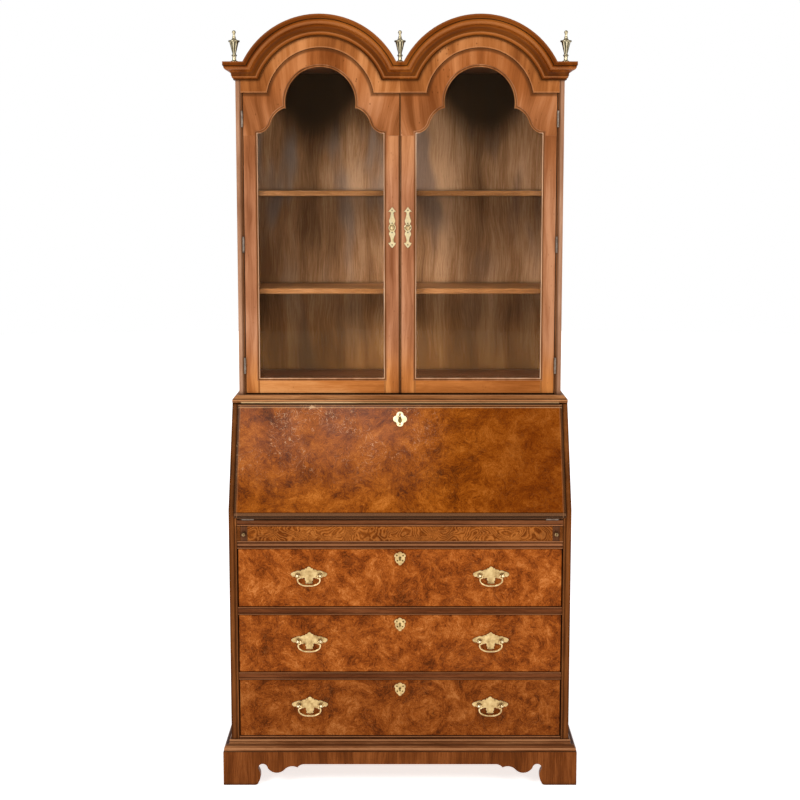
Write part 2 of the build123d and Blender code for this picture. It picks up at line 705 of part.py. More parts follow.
with BuildPart() as frieze_board:
    with BuildSketch(facing(cabinet_front_y)):
        flat_z = bonnet_outline(3.0)
        with Locations((0, (door_shoulder + flat_z) / 2)):
            Rectangle(cabinet_width, flat_z - door_shoulder)
        with Locations((0, door_shoulder + door_gap - 400)):
            Rectangle(2 * cabinet_width, 800, mode=Mode.SUBTRACT)
        for sign in mirror_signs.values():
            with Locations((sign * arch_x, arch_z)):
                Circle(door_arch_radius + door_gap, mode=Mode.SUBTRACT)
            with Locations((sign * (cabinet_out + 100), door_shoulder)):
                Rectangle(200, 400, mode=Mode.SUBTRACT)
            with Locations((sign * (cabinet_out - stile_w / 2), (door_shoulder + cabinet_ceiling) / 2)):
                Rectangle(stile_w + 0.2, cabinet_ceiling - door_shoulder + 8, mode=Mode.SUBTRACT)
    extrude(amount=-bonnet_t)
save(frieze_board.part, "frieze_board")


def cornice_curve(at):
    """The moulding's section: at() places a point by inward distance and projection."""
    ThreePointArc(at(13, 35), at(21.8, 33.2), at(27, 26))
    ThreePointArc(at(27, 26), at(31.2, 16.2), at(41, 12.5))
    Polyline(at(41, 12.5), at(44, 12.5), at(44, 10.5))
    ThreePointArc(at(44, 10.5), at(49.5, 9.9), at(53, 6))
    Line(at(53, 6), at(cornice_width, 6))


def cornice_cutter(at, reach):
    """The room in front of the moulding and everything inward of it, as far as reach."""
    beyond = 2 * cornice_front_out
    with BuildLine() as outline:
        cornice_curve(at)
        Polyline(at(cornice_width, 6), at(cornice_width, -1), at(reach, -1), at(reach, beyond),
                 at(13, beyond), at(13, 35))
    make_face(outline.edges())


def cornice_section(at):
    with BuildLine() as outline:
        cornice_curve(at)
        Polyline(at(cornice_width, 6), at(cornice_width, 0), at(0, 0), at(0, cornice_front_out),
                 at(13, cornice_front_out), at(13, 35))
    make_face(outline.edges())


flat_ratio = (cornice_flat - cornice_bottom) / cornice_width
side_ratio = cornice_side_out / cornice_front_out


def on_arch(inward, stand):
    return (cornice_radius - inward, stand)


def on_flat(inward, stand):
    return (cabinet_front_y - stand, cornice_flat - inward * flat_ratio)


def on_side(sign):
    def at(inward, stand):
        return (sign * (cabinet_out + stand * side_ratio), cornice_flat - inward * flat_ratio)
    return at


cornice_half = cabinet_out + cornice_side_out
below_flats = 4 * cornice_width
with BuildPart() as cornice_front:
    with BuildSketch(facing(cornice_front_y)):
        for sign in mirror_signs.values():
            with Locations((sign * arch_x, arch_z)):
                Circle(cornice_radius)
        with Locations((0, cornice_bottom)):
            Rectangle(2 * cornice_half, cornice_flat - cornice_bottom, align=(Align.CENTER, Align.MIN))
            Rectangle(4 * cornice_half, 2 * cornice_radius, align=(Align.CENTER, Align.MAX),
                      mode=Mode.SUBTRACT)
    extrude(amount=-cornice_front_out)
    for sign in mirror_signs.values():
        # Each arch's moulding is turned about the arch's centre.
        arch_plane = Plane((sign * arch_x, cabinet_front_y, arch_z), (1, 0, 0), (0, 0, -1))
        with BuildSketch(arch_plane):
            cornice_cutter(on_arch, cornice_radius)
        revolve(axis=Axis((sign * arch_x, 0, arch_z), (0, 1, 0)), mode=Mode.SUBTRACT)
    with BuildSketch(Plane.YZ.offset(-2 * cornice_half)):
        cornice_cutter(on_flat, below_flats)
    extrude(amount=4 * cornice_half, mode=Mode.SUBTRACT)
    for sign in mirror_signs.values():
        with BuildSketch(facing(cornice_front_y - 10)):
            cornice_cutter(on_side(sign), below_flats)
        extrude(amount=-cornice_front_out - 20, mode=Mode.SUBTRACT)
save(cornice_front.part, "cornice_front")

with BuildPart() as cornice_returns:
    for sign in mirror_signs.values():
        with BuildSketch(facing(cabinet_front_y + glue_line)):
            cornice_section(on_side(sign))
        extrude(amount=-(cabinet_back_y - cabinet_front_y - glue_line))
save(cornice_returns.part, "cornice_returns")

# ---------------------------------------------------------------- finials
finial_y = cornice_front_y + 19.0
with BuildPart() as finials:
    for finial_x in (-cabinet_out - 1, 0, cabinet_out + 1):
        finial_plane = Plane((finial_x, finial_y, cornice_flat), (1, 0, 0), (0, -1, 0))
        with BuildSketch(finial_plane):
            with BuildLine():
                Polyline((5, 8), (5, 15), (7, 16), (7, 20), (5.5, 22), (13, 53), (15.5, 54),
                         (15.5, 57.5), (12, 59))
                ThreePointArc((12, 59), (5.5, 62), (3.3, 68))
                Polyline((3.3, 68), (3, 75), (0, 75), (0, 0), (10, 0), (9.6, 2))
                ThreePointArc((9.6, 2), (6.1, 4), (5, 8))
            make_face()
        revolve(axis=Axis(finial_plane.origin, (0, 0, 1)))
        with Locations((finial_x, finial_y, cornice_flat + 79)):
            Sphere(6)
save(finials.part, "finials")

# ---------------------------------------------------------------- doors
glass_half_w = 176.5
cusp_x = 97.3
glass_t = 3.0
glass_y = cabinet_front_y + 9.0
rebate_reach = 7.0
head_low = glass_shoulder - 7.0
door_pull_x = 22.0
door_pull_z = 1555.0


with BuildSketch() as glass_opening:
    # Round arch, a cusp each side, then an ogee shoulder down to the straight stile.
    ogee_low = glass_shoulder
    ogee_turn = ogee_low + 29
    ogee_top = ogee_low + 69
    with BuildLine():
        Polyline((-glass_half_w, ogee_low), (-glass_half_w, glass_bottom),
                 (glass_half_w, glass_bottom), (glass_half_w, ogee_low))
        for sign in mirror_signs.values():
            ThreePointArc((sign * glass_half_w, ogee_low), (sign * 153.6, ogee_low + 8.2),
                          (sign * 139, ogee_turn))
            ThreePointArc((sign * 139, ogee_turn), (sign * 125.2, ogee_turn + 24.6),
                          (sign * 103, ogee_top))
            Line((sign * 103, ogee_top), (sign * cusp_x, ogee_top))
        ThreePointArc((-cusp_x, ogee_top), (0, arch_z + glass_arch_radius), (cusp_x, ogee_top))
    make_face()

with BuildSketch() as glass_rebate:
    add(glass_opening.sketch)
    offset(amount=rebate_reach)

with BuildSketch() as pane_outline:
    add(glass_opening.sketch)
    offset(amount=rebate_reach - 0.5)


def door_hinge_half(pin_x, inward, leaf_x, z, odd):
    """One leaf of a butt hinge with its knuckles; inward points from the leaf to its wood."""
    leaf_y = door_pin_y + barrel_r + 0.3
    board(leaf_x, leaf_x - inward * leaf_t, leaf_y, cabinet_front_y + door_thickness,
          z - hinge_height / 2, z + hinge_height / 2)
    for start, length in knuckle_spans(hinge_height, odd):
        board(leaf_x, leaf_x - inward * leaf_t, door_pin_y, leaf_y + 0.2, z + start,
              z + start + length)
        with Locations((pin_x, door_pin_y, z + start + length / 2)):
            Cylinder(barrel_r, length)
            if odd:
                Cylinder(pin_bore_r, length + 1, mode=Mode.SUBTRACT)


with BuildPart() as case_hinge_leaves:
    for sign in mirror_signs.values():
        for hinge_z in hinge_heights:
            door_hinge_half(sign * door_pin_x, sign, sign * (cabinet_out - stile_w), hinge_z,
                            odd=False)
            with Locations((sign * door_pin_x, door_pin_y, hinge_z)):
                Cylinder(pin_r, hinge_height - knuckle_gap)
save(case_hinge_leaves.part, "case_hinge_leaves")

for side, sign in mirror_signs.items():
    middle_x = sign * (door_out_x + door_in_x) / 2
    door_w = door_out_x - door_in_x
    with BuildPart() as door_frame:
        with BuildSketch(facing(cabinet_front_y)):
            with Locations((middle_x, (door_bottom + door_shoulder) / 2)):
                Rectangle(door_w, door_shoulder - door_bottom)
            with Locations((sign * arch_x, arch_z)):
                Circle(door_arch_radius)
            with Locations((sign * arch_x, 0)):
                add(glass_opening.sketch, mode=Mode.SUBTRACT)
        extrude(amount=-door_thickness)
        with BuildSketch(facing(glass_y)):
            with Locations((sign * arch_x, 0)):
                add(glass_rebate.sketch)
        extrude(amount=-door_thickness, mode=Mode.SUBTRACT)
        # Joint lines part the two stiles, the bottom rail and the arched head.
        joint_y = (cabinet_front_y - 1, cabinet_front_y + door_thickness + 1)
        board(middle_x - door_w, middle_x + door_w, *joint_y, head_low, head_low + glue_line,
              mode=Mode.SUBTRACT)
        for joint_x in (sign * arch_x - glass_half_w, sign * arch_x + glass_half_w - glue_line):
            board(joint_x, joint_x + glue_line, *joint_y, door_bottom - 1, glass_bottom + 1,
                  mode=Mode.SUBTRACT)
    save(door_frame.part, f"door_{side}_frame")

    with BuildPart() as door_glass:
        with BuildSketch(facing(glass_y + glue_line)):
            with Locations((sign * arch_x, 0)):
                add(pane_outline.sketch)
        extrude(amount=-glass_t)
    save(door_glass.part, f"door_{side}_glass")

    with BuildPart() as door_pull:
        with BuildSketch(facing(cabinet_front_y)):
            with Locations((sign * door_pull_x, door_pull_z)):
                add(door_plate.sketch)
            with Locations((sign * door_pull_x, door_pull_z - 12.9)):
                Circle(1.6, mode=Mode.SUBTRACT)
        extrude(amount=plate_t)
        round_knob(sign * door_pull_x, cabinet_front_y - plate_t, door_pull_z, 5.0)
    save(door_pull.part, f"door_{side}_pull")

    with BuildPart() as door_hinge_leaves:
        for hinge_z in hinge_heights:
            door_hinge_half(sign * door_pin_x, -sign, sign * door_out_x, hinge_z, odd=True)
    save(door_hinge_leaves.part, f"door_{side}_hinge_leaves")
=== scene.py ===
"""Looks of the secretary desk: woods, brass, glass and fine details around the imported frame."""

import json
import math

import bmesh
import bpy
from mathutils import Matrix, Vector

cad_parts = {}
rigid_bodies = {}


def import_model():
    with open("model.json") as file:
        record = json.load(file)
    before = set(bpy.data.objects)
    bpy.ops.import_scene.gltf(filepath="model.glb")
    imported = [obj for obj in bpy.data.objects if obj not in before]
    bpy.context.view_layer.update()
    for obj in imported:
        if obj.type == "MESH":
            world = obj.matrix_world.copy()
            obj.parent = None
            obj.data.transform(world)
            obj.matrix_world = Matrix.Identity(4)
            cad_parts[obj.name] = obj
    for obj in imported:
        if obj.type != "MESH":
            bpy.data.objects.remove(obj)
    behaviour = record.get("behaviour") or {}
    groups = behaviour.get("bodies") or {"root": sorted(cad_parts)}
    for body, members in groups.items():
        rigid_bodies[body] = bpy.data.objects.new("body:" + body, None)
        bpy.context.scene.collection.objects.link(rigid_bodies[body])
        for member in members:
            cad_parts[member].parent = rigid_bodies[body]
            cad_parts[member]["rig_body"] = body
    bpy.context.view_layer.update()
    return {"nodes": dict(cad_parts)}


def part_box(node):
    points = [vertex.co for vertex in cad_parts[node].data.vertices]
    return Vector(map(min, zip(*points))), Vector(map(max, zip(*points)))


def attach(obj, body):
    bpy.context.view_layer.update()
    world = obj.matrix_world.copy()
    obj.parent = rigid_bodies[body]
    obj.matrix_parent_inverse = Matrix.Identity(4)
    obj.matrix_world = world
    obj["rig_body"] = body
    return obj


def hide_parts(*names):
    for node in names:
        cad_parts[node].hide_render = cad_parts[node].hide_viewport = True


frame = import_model()
nodes = frame["nodes"]
MM = 0.001
FINIAL_Y = -0.0805
CORNICE_TOP = 2.009             # the flat top that the finials stand on
AMBER = (1.0, 0.55, 0.22)       # lacquer's reflections, so that its haze doesn't grey the wood
OUTWARDS = Vector((0, -1, 0))
both = ("left", "right")

# The two arches of the bonnet share these centres with the doors and the glass.
ARCH_X, ARCH_Z = 0.221, 1.8995
LID_LEAN = math.radians(27.7)
LID_UP = Vector((0, math.sin(LID_LEAN), math.cos(LID_LEAN)))
LID_OUT = Vector((0, -LID_UP.z, LID_UP.y))
LID_FOOT = Vector((0, -0.227, 0.7575))
LID_LENGTH = 0.332


# ---------------------------------------------------------------- materials
class Nodes:
    """The nodes of a material or a world. Every argument may be a plain value or another node's socket."""

    def __init__(self, owner):
        owner.use_nodes = True
        self.tree = owner.node_tree
        self.tree.nodes.clear()

    def add(self, kind, **settings):
        node = self.tree.nodes.new(kind)
        for key, value in settings.items():
            setattr(node, key, value)
        return node

    def feed(self, socket, value):
        if isinstance(value, bpy.types.NodeSocket):
            self.tree.links.new(value, socket)
        else:
            socket.default_value = value

    def math(self, operation, a, b=0.0, c=0.0):
        node = self.add("ShaderNodeMath", operation=operation)
        for socket, value in zip(node.inputs, (a, b, c)):
            self.feed(socket, value)
        return node.outputs[0]

    def plus(self, a, b):
        return self.math("ADD", a, b)

    def minus(self, a, b):
        return self.math("SUBTRACT", a, b)

    def times(self, a, b):
        return self.math("MULTIPLY", a, b)

    def length(self, a, b):
        return self.math("SQRT", self.plus(self.times(a, a), self.times(b, b)))


class Tree(Nodes):
    """One material's nodes round a principled shader."""

    def __init__(self, name):
        self.material = bpy.data.materials.new(name)
        super().__init__(self.material)
        self.shader = self.add("ShaderNodeBsdfPrincipled")
        self.feed(self.add("ShaderNodeOutputMaterial").inputs[0], self.shader.outputs[0])
        self.place = self.add("ShaderNodeTexCoord").outputs["Object"]
        split = self.add("ShaderNodeSeparateXYZ")
        self.feed(split.inputs[0], self.place)
        self.x, self.y, self.z = split.outputs

    def vec(self, a, b, c):
        node = self.add("ShaderNodeCombineXYZ")
        for socket, value in zip(node.inputs, (a, b, c)):
            self.feed(socket, value)
        return node.outputs[0]

    def vmath(self, operation, a, b):
        node = self.add("ShaderNodeVectorMath", operation=operation)
        self.feed(node.inputs[0], a)
        self.feed(node.inputs[1], b)
        return node.outputs

    def vsum(self, a, b):
        return self.vmath("ADD", a, b)[0]

    def vscale(self, a, factors):
        return self.vmath("MULTIPLY", a, factors)[0]

    def noise(self, at, scale, detail=3.0, roughness=0.5, distortion=0.0, colour=False):
        node = self.add("ShaderNodeTexNoise")
        for key, value in (("Vector", at), ("Scale", scale), ("Detail", detail),
                           ("Roughness", roughness), ("Distortion", distortion)):
            self.feed(node.inputs[key], value)
        return node.outputs["Color" if colour else "Fac"]

    def cells(self, at, scale):
        node = self.add("ShaderNodeTexVoronoi")
        self.feed(node.inputs["Vector"], at)
        self.feed(node.inputs["Scale"], scale)
        return node.outputs["Distance"]

    def span(self, value, low, high, to_low=0.0, to_high=1.0):
        """Value from low..high mapped smoothly to to_low..to_high and clamped."""
        node = self.add("ShaderNodeMapRange", clamp=True, interpolation_type="SMOOTHSTEP")
        for index, number in enumerate((value, low, high, to_low, to_high)):
            self.feed(node.inputs[index], number)
        return node.outputs[0]

    def ramp(self, value, stops):
        node = self.add("ShaderNodeValToRGB")
        band = node.color_ramp
        while len(band.elements) < len(stops):
            band.elements.new(0.5)
        for element, (position, colour) in zip(band.elements, stops):
            element.position = position
            element.color = (*colour, 1)
        self.feed(node.inputs[0], value)
        return node.outputs[0]

    def mix(self, share, a, b, blend="MIX"):
        node = self.add("ShaderNodeMix", data_type="RGBA", blend_type=blend)
        for index, value in ((0, share), (6, a), (7, b)):
            if isinstance(value, tuple):
                value = (*value, 1)
            self.feed(node.inputs[index], value)
        return node.outputs[2]

    def bump(self, height, distance, strength):
        node = self.add("ShaderNodeBump")
        for key, value in (("Height", height), ("Distance", distance), ("Strength", strength)):
            self.feed(node.inputs[key], value)
        return node.outputs[0]

    def openness(self, reach):
        """How open the surroundings of a point are, from 0 in a corner to 1."""
        hidden = self.add("ShaderNodeAmbientOcclusion", samples=6)
        self.feed(hidden.inputs["Distance"], reach)
        return hidden.outputs["AO"]

    def worn_and_shaded(self, colour, shadow, rubbed, grime_and_shade=0.85):
        """Darker in the corners as painted shade with some finish gathered there, and lighter along the open
        edges, partly wear and partly painted highlight.
        """
        open_share = self.openness(0.012)
        # Painted shade where the surroundings close in, with some finish gathered there.
        colour = self.mix(self.span(open_share, 0.3, 0.95, grime_and_shade, 0.0), colour, shadow)
        # Lighter along the open edges: partly wear, partly painted highlight.
        rounded = self.add("ShaderNodeBevel", samples=6)
        self.feed(rounded.inputs["Radius"], 0.0016)
        true_normal = self.add("ShaderNodeNewGeometry").outputs["Normal"]
        alike = self.vmath("DOT_PRODUCT", rounded.outputs[0], true_normal)["Value"]
        edge = self.times(self.span(alike, 0.72, 0.97, 1.0, 0.0), self.span(open_share, 0.6, 0.9))
        patchy = self.span(self.noise(self.place, 60.0, 3.0), 0.35, 0.6, 0.35, 1.0)
        return self.mix(self.times(self.times(edge, patchy), 0.45), colour, rubbed)

    def finish(self, colour, roughness, normal=None, **plain):
        """Connects the surface; the plain numbers are set on the shader itself."""
        plain = {"Base_Color": colour, "Roughness": roughness, **plain}
        if normal is not None:
            plain["Normal"] = normal
        for key, value in plain.items():
            if isinstance(value, tuple):
                value = (*value, 1)
            self.feed(self.shader.inputs[key.replace("_", " ")], value)
        return self.material

    def from_arch(self, low=ARCH_Z):
        """Distances east of and above an arch's centre, or a point below it, and straight from it."""
        east = self.minus(self.math("ABSOLUTE", self.x), ARCH_X)
        up = self.minus(self.z, low)
        return east, up, self.length(east, up)

    def grain_axes(self, direction):
        """Position as three numbers: along the grain, then the two ways across it."""
        if direction == "X":
            return self.x, self.y, self.z
        if direction == "Y":
            return self.y, self.x, self.z
        if direction == "Z":
            return self.z, self.x, self.y
        drop = 0.9 if direction == "fan" else 0.0
        east, up, reach = self.from_arch(ARCH_Z - drop)
        round_arch = self.times(self.math("ARCTAN2", east, up), 0.2 + 0.8 * drop)
        deep = self.plus(self.y, self.times(self.math("SIGN", self.x), 3.0))
        if direction == "fan":
            return reach, round_arch, deep
        return round_arch, reach, deep


def darker(colour, factor):
    return tuple(channel * factor for channel in colour)


def line(t, colour, at, position, half_width, tone, share):
    """A narrow line of a tone where at is near position, full over its middle third."""
    away = t.math("ABSOLUTE", t.minus(at, position))
    return t.mix(t.span(away, half_width * 0.35, half_width, share, 0.0), colour, tone)


def lined(coordinate, *marks):
    """A figure of narrow lines on |x|, z or a function; a mark is (position, half width, colour, share)."""
    def figure(t, colour, along, across, deep):
        if coordinate == "x":
            at = t.math("ABSOLUTE", t.x)
        else:
            at = t.z if coordinate == "z" else coordinate(t)
        for mark in marks:
            colour = line(t, colour, at, *mark)
        return colour
    return figure


def lacquer(coat, roughness):
    return dict(Specular_IOR_Level=0.1, Specular_Tint=AMBER, Coat_Weight=coat, Coat_Roughness=roughness,
                Coat_IOR=1.4)


def wood(name, direction, dark, mid, light, wave=0.35, band=34.0, gloss=0.36, coat=0.03, figure=None,
         broad=0.35, grime_and_shade=0.85, streak=0.3, specks=0.0):
    """Straight-grained wood under a thin lacquer; broad is the share of slow, wide changes of tone."""
    t = Tree(name)
    along, across, deep = t.grain_axes(direction)
    start = t.vec(along, across, deep)
    drift = t.minus(t.noise(t.vscale(start, (1.0, 1.6, 1.6)), 5.0, 2.0), 0.5)
    across = t.plus(across, t.times(drift, wave * 0.1))
    slow = t.noise(t.vec(t.times(along, 0.07), across, deep), band, 3.0, 0.55)
    fibre = t.noise(t.vec(t.times(along, 0.035), across, deep), 430.0, 4.0, 0.62)
    cloud = t.noise(t.vec(t.times(along, 0.4), across, deep), 7.0, 2.0)
    pore = t.noise(t.vec(t.times(along, 0.05), across, deep), 1300.0, 1.0)
    tone = t.plus(t.plus(t.times(slow, 1.0 - streak - broad), t.times(fibre, streak)), t.times(cloud, broad))
    colour = t.ramp(tone, ((0.39, dark), (0.5, mid), (0.61, light)))
    if figure:
        colour = figure(t, colour, along, across, deep)
    pits = t.span(pore, 0.60, 0.72)
    colour = t.mix(t.times(pits, 1.5 * streak), colour, darker(dark, 0.55))
    if specks:
        dots = t.span(t.cells(t.vscale(t.place, (1.0, 1.0, 0.6)), 85.0), 0.10, 0.16, 1.0, 0.0)
        some = t.span(t.noise(t.place, 24.0, 1.0), 0.44, 0.56)
        colour = t.mix(t.times(t.times(dots, some), specks), colour, darker(dark, 0.5))
    colour = t.worn_and_shaded(colour, darker(dark, 0.22), light, grime_and_shade=grime_and_shade)
    rough = t.plus(t.times(fibre, 0.16), gloss - 0.05)
    height = t.minus(t.times(fibre, 0.6), t.times(pits, 0.5))
    normal = t.bump(height, 0.00035, 0.2 + streak)
    return t.finish(colour, rough, normal, **lacquer(coat, 0.16))


def burl(name, dark, mid, light, ember, gloss=0.32, relief=0.5, size=0.75, comb=0.0):
    """Burl veneer: drifting clouds of colour, fine curls, clusters of small eyes and dark pores."""
    t = Tree(name)
    half = (-0.5, -0.5, -0.5)
    wide = t.vscale(t.vsum(t.noise(t.place, 8.0, 2.0, colour=True), half), (0.09,) * 3)
    drifted = t.vsum(t.place, wide)
    curl = t.vscale(t.vsum(t.noise(drifted, 42.0, 3.0, colour=True), half), (0.03,) * 3)
    curled = t.vsum(drifted, curl)
    clouds = t.noise(drifted, 7.0 / size, 2.0, 0.5)
    patches = t.noise(curled, 22.0 / size, 4.0, 0.6)
    swirl = t.noise(curled, 110.0, 5.0, 0.7, 1.6)
    fine = t.noise(curled, 480.0, 3.0, 0.7)
    tone = t.plus(t.plus(t.times(clouds, 0.19), t.times(patches, 0.31)),
                  t.plus(t.times(swirl, 0.33), t.times(fine, 0.17)))
    colour = t.ramp(tone, ((0.41, dark), (0.47, mid), (0.53, ember), (0.61, light)))
    ridge = t.math("ABSOLUTE", t.minus(t.noise(curled, 62.0, 4.0, 0.6, 0.8), 0.5))
    curls = t.span(ridge, 0.0, 0.022, 1.0, 0.0)
    lively = t.span(t.noise(drifted, 13.0, 2.0), 0.46, 0.6)
    colour = t.mix(t.times(t.times(curls, lively), 0.28), colour, light)
    if comb:
        # Feathered figure: close curved lines round slow swirls.
        slow = t.noise(t.vscale(drifted, (0.7, 1.0, 1.0)), 15.0, 2.0, 0.4)
        wavy = t.math("SINE", t.plus(t.times(slow, 210.0), t.times(swirl, 3.0)))
        colour = t.mix(t.span(wavy, -0.2, 0.9, 0.0, 0.42 * comb), colour, light)
        colour = t.mix(t.span(wavy, -0.9, -0.2, 0.5 * comb, 0.0), colour, dark)
    where = t.span(t.noise(drifted, 19.0, 2.0), 0.53, 0.64)
    eye = t.cells(curled, 120.0)
    knots = t.times(t.span(eye, 0.08, 0.34, 1.0, 0.0), where)
    colour = t.mix(t.times(knots, 0.5), colour, darker(dark, 0.7))
    pores = t.span(t.noise(curled, 760.0, 1.0), 0.62, 0.72)
    colour = t.mix(t.times(pores, 0.55), colour, darker(dark, 0.45))
    rough = t.plus(t.times(swirl, 0.14), gloss - 0.05)
    height = t.plus(t.plus(t.times(swirl, 0.5), t.times(fine, 0.2)), t.times(t.times(curls, lively), 0.6))
    normal = t.bump(height, 0.0005, relief)
    return t, colour, rough, normal, lacquer(0.03, 0.2)


def burl_plain(name, *tones, **settings):
    t, colour, rough, normal, plain = burl(name, *tones, **settings)
    return t.finish(t.worn_and_shaded(colour, darker(tones[0], 0.25), tones[2]), rough, normal, **plain)


def glass_material():
    t = Tree("clear_glass")
    ripple = t.noise(t.place, 9.0, 2.0)
    return t.finish((0.98, 0.985, 0.98), 0.02, t.bump(ripple, 0.002, 0.05), IOR=1.2,
                    Specular_IOR_Level=0.15, Specular_Tint=(1.0, 0.72, 0.45), Transmission_Weight=1.0)


def brass(name, tone, dull, dark, polish=0.28, figure=None, relief=0.5):
    """Aged brass: bright on the high spots, dull and brownish where it isn't rubbed."""
    t = Tree(name)
    cloud = t.noise(t.place, 70.0, 4.0, 0.6)
    grain = t.noise(t.place, 900.0, 2.0)
    colour = t.ramp(cloud, ((0.3, dark), (0.46, dull), (0.62, tone)))
    colour = t.mix(t.span(t.openness(0.004), 0.2, 0.75, 0.9, 0.0), colour, darker(dark, 0.25))
    if figure:
        colour = figure(t, colour)
    rough = t.span(t.plus(t.times(cloud, 0.7), t.times(grain, 0.3)), 0.3, 0.7, polish + 0.16,
                   polish - 0.04)
    return t.finish(colour, rough, t.bump(grain, 0.00012, relief), Metallic=1.0)


def fluted_cup(t, colour):
    """Painted shade in the flutes round the finials' cups, and dark rings above and below them."""
    across = t.math("WRAP", t.x, 0.2285, -0.2285)
    turn = t.math("ARCTAN2", across, t.minus(t.y, FINIAL_Y))
    groove = t.span(t.math("ABSOLUTE", t.math("SINE", t.times(turn, 4.0))), 0.50, 0.80)
    height = t.minus(t.z, CORNICE_TOP)
    on_cup = t.times(t.span(height, 0.0200, 0.0215), t.span(height, 0.0520, 0.0540, 1.0, 0.0))
    # Painted shade in the flutes.
    colour = t.mix(t.times(t.times(groove, on_cup), 0.93), colour, (0.020, 0.014, 0.006))
    for low, high in ((0.0145, 0.0200), (0.0530, 0.0572)):
        ring = t.times(t.span(height, low, low + 0.0008), t.span(height, high - 0.0008, high, 1.0, 0.0))
        colour = t.mix(t.times(ring, 0.6), colour, (0.05, 0.033, 0.014))
    return colour


case_tones = ((0.047, 0.0098, 0.0009), (0.115, 0.029, 0.004), (0.225, 0.070, 0.015))
rail_tones = ((0.052, 0.012, 0.003), (0.108, 0.028, 0.008), (0.20, 0.062, 0.020))
side_tones = ((0.15, 0.062, 0.030), (0.28, 0.135, 0.073), (0.42, 0.23, 0.14))
door_tones = ((0.19, 0.062, 0.024), (0.34, 0.135, 0.062), (0.52, 0.25, 0.135))
rail_door_tones = ((0.25, 0.070, 0.012), (0.43, 0.142, 0.032), (0.62, 0.27, 0.09))
head_tones = ((0.14, 0.034, 0.006), (0.275, 0.082, 0.020), (0.43, 0.162, 0.055))
frieze_tones = ((0.165, 0.045, 0.009), (0.30, 0.097, 0.024), (0.47, 0.185, 0.062))
inner_tones = ((0.16, 0.07, 0.026), (0.27, 0.13, 0.052), (0.38, 0.20, 0.09))
cornice_tones = ((0.085, 0.016, 0.001), (0.165, 0.036, 0.002), (0.28, 0.080, 0.011))
foot_tones = ((0.055, 0.012, 0.002), (0.130, 0.031, 0.005), (0.25, 0.072, 0.016))
shelf_tones = ((0.13, 0.045, 0.013), (0.23, 0.093, 0.030), (0.36, 0.16, 0.065))
back_tones = ((0.12, 0.052, 0.020), (0.29, 0.140, 0.060), (0.52, 0.29, 0.150))
# Colours of narrow lines: the dark and mid ones mostly stand for painted shade in creases and gaps, the
# light, pale and red ones mostly for painted highlights on beads and ridges.
line_dark, line_mid = (0.018, 0.005, 0.001), (0.06, 0.018, 0.005)
line_light, line_pale = (0.42, 0.19, 0.082), (0.70, 0.47, 0.25)
line_red = (0.36, 0.135, 0.045)


def both_ends(low, high, *marks):
    """The same marks measured inwards from both edges of each rail."""
    return [(edge + way * inward, *rest) for edge, way in ((low, 1), (high, -1)) for inward, *rest in marks]


def cornice_inward(t):
    """How far inwards a point lies in the cornice's section, across the arches and along the flats."""
    outer_radius, section_slope = 0.2375, 0.842
    on_flat = t.times(t.minus(CORNICE_TOP, t.z), 1 / section_slope)
    return t.math("MAXIMUM", t.minus(outer_radius, t.from_arch()[2]), on_flat)


def door_inward(t):
    """How far inside the arched top outline of the doors a point lies."""
    radius, flat_top = 0.1486, 1.925
    return t.math("MAXIMUM", t.minus(radius, t.from_arch()[2]), t.minus(flat_top, t.z))


def uneven_z(t, scale, depth):
    return t.plus(t.z, t.times(t.noise(t.place, scale, 2.0), depth))


def stile_ends(t, colour, along, across, deep):
    """The stiles take the head's tone near the top and the bottom rail's near the foot; the right-hand stile
    is darker and narrow dark lines run beside the gaps and the lips, all painted shade.
    """
    height = uneven_z(t, 9.0, 0.10)
    colour = t.mix(t.span(height, 1.66, 1.87), colour, (0.88, 0.78, 0.60), "MULTIPLY")
    colour = t.mix(t.span(height, 1.14, 1.32, 1.0, 0.0), colour, (1.20, 1.0, 0.50), "MULTIPLY")
    # Painted shade: darker towards the right-hand stile.
    colour = t.mix(t.span(t.x, 0.30, 0.39), colour, (0.82, 0.77, 0.70), "MULTIPLY")
    # Narrow dark lines of painted shade beside the gaps and outside the lips.
    east = t.math("ABSOLUTE", t.x)
    for edge, half_width, share in (
            (0.4362, 0.0018, 0.55), (0.3998, 0.0034, 0.40), (0.0422, 0.0034, 0.40), (0.0034, 0.0022, 0.65)):
        colour = line(t, colour, east, edge, half_width, line_mid, share)
    return colour


# Painted highlights on the rails' beads and painted shade in the creases beside them.
rail_marks = []
for rail_low, rail_high in ((0.3000, 0.3210), (0.4865, 0.5085)):
    rail_marks += both_ends(rail_low, rail_high, (0.0014, 0.0013, line_light, 0.42),
                            (0.0044, 0.0014, line_dark, 0.55))
rail_marks += both_ends(0.6745, 0.6960, (0.0014, 0.0014, line_light, 0.6), (0.0053, 0.0018, line_dark, 0.85),
                        (0.0107, 0.0038, line_light, 0.22))
rail_marks += [(0.1344, 0.0014, line_light, 0.5), (0.1308, 0.0013, line_dark, 0.7)]
# A near-black painted shadow of the gap under the lid, with painted highlights and painted shade along the
# bed's beads.
bed_marks = [(0.7565, 0.0028, (0.004, 0.001, 0.0005), 1.0), (0.7425, 0.0012, line_dark, 0.9),
             (0.7398, 0.0014, line_light, 0.5), (0.7500, 0.0040, line_light, 0.12)]
# Painted highlights and painted shade along the desk top's moulded edge.
top_marks = [(1.0832, 0.0016, line_light, 0.6), (1.0735, 0.0017, line_dark, 0.9),
             (1.0700, 0.0020, line_light, 0.5), (1.0665, 0.0012, line_mid, 0.8)]
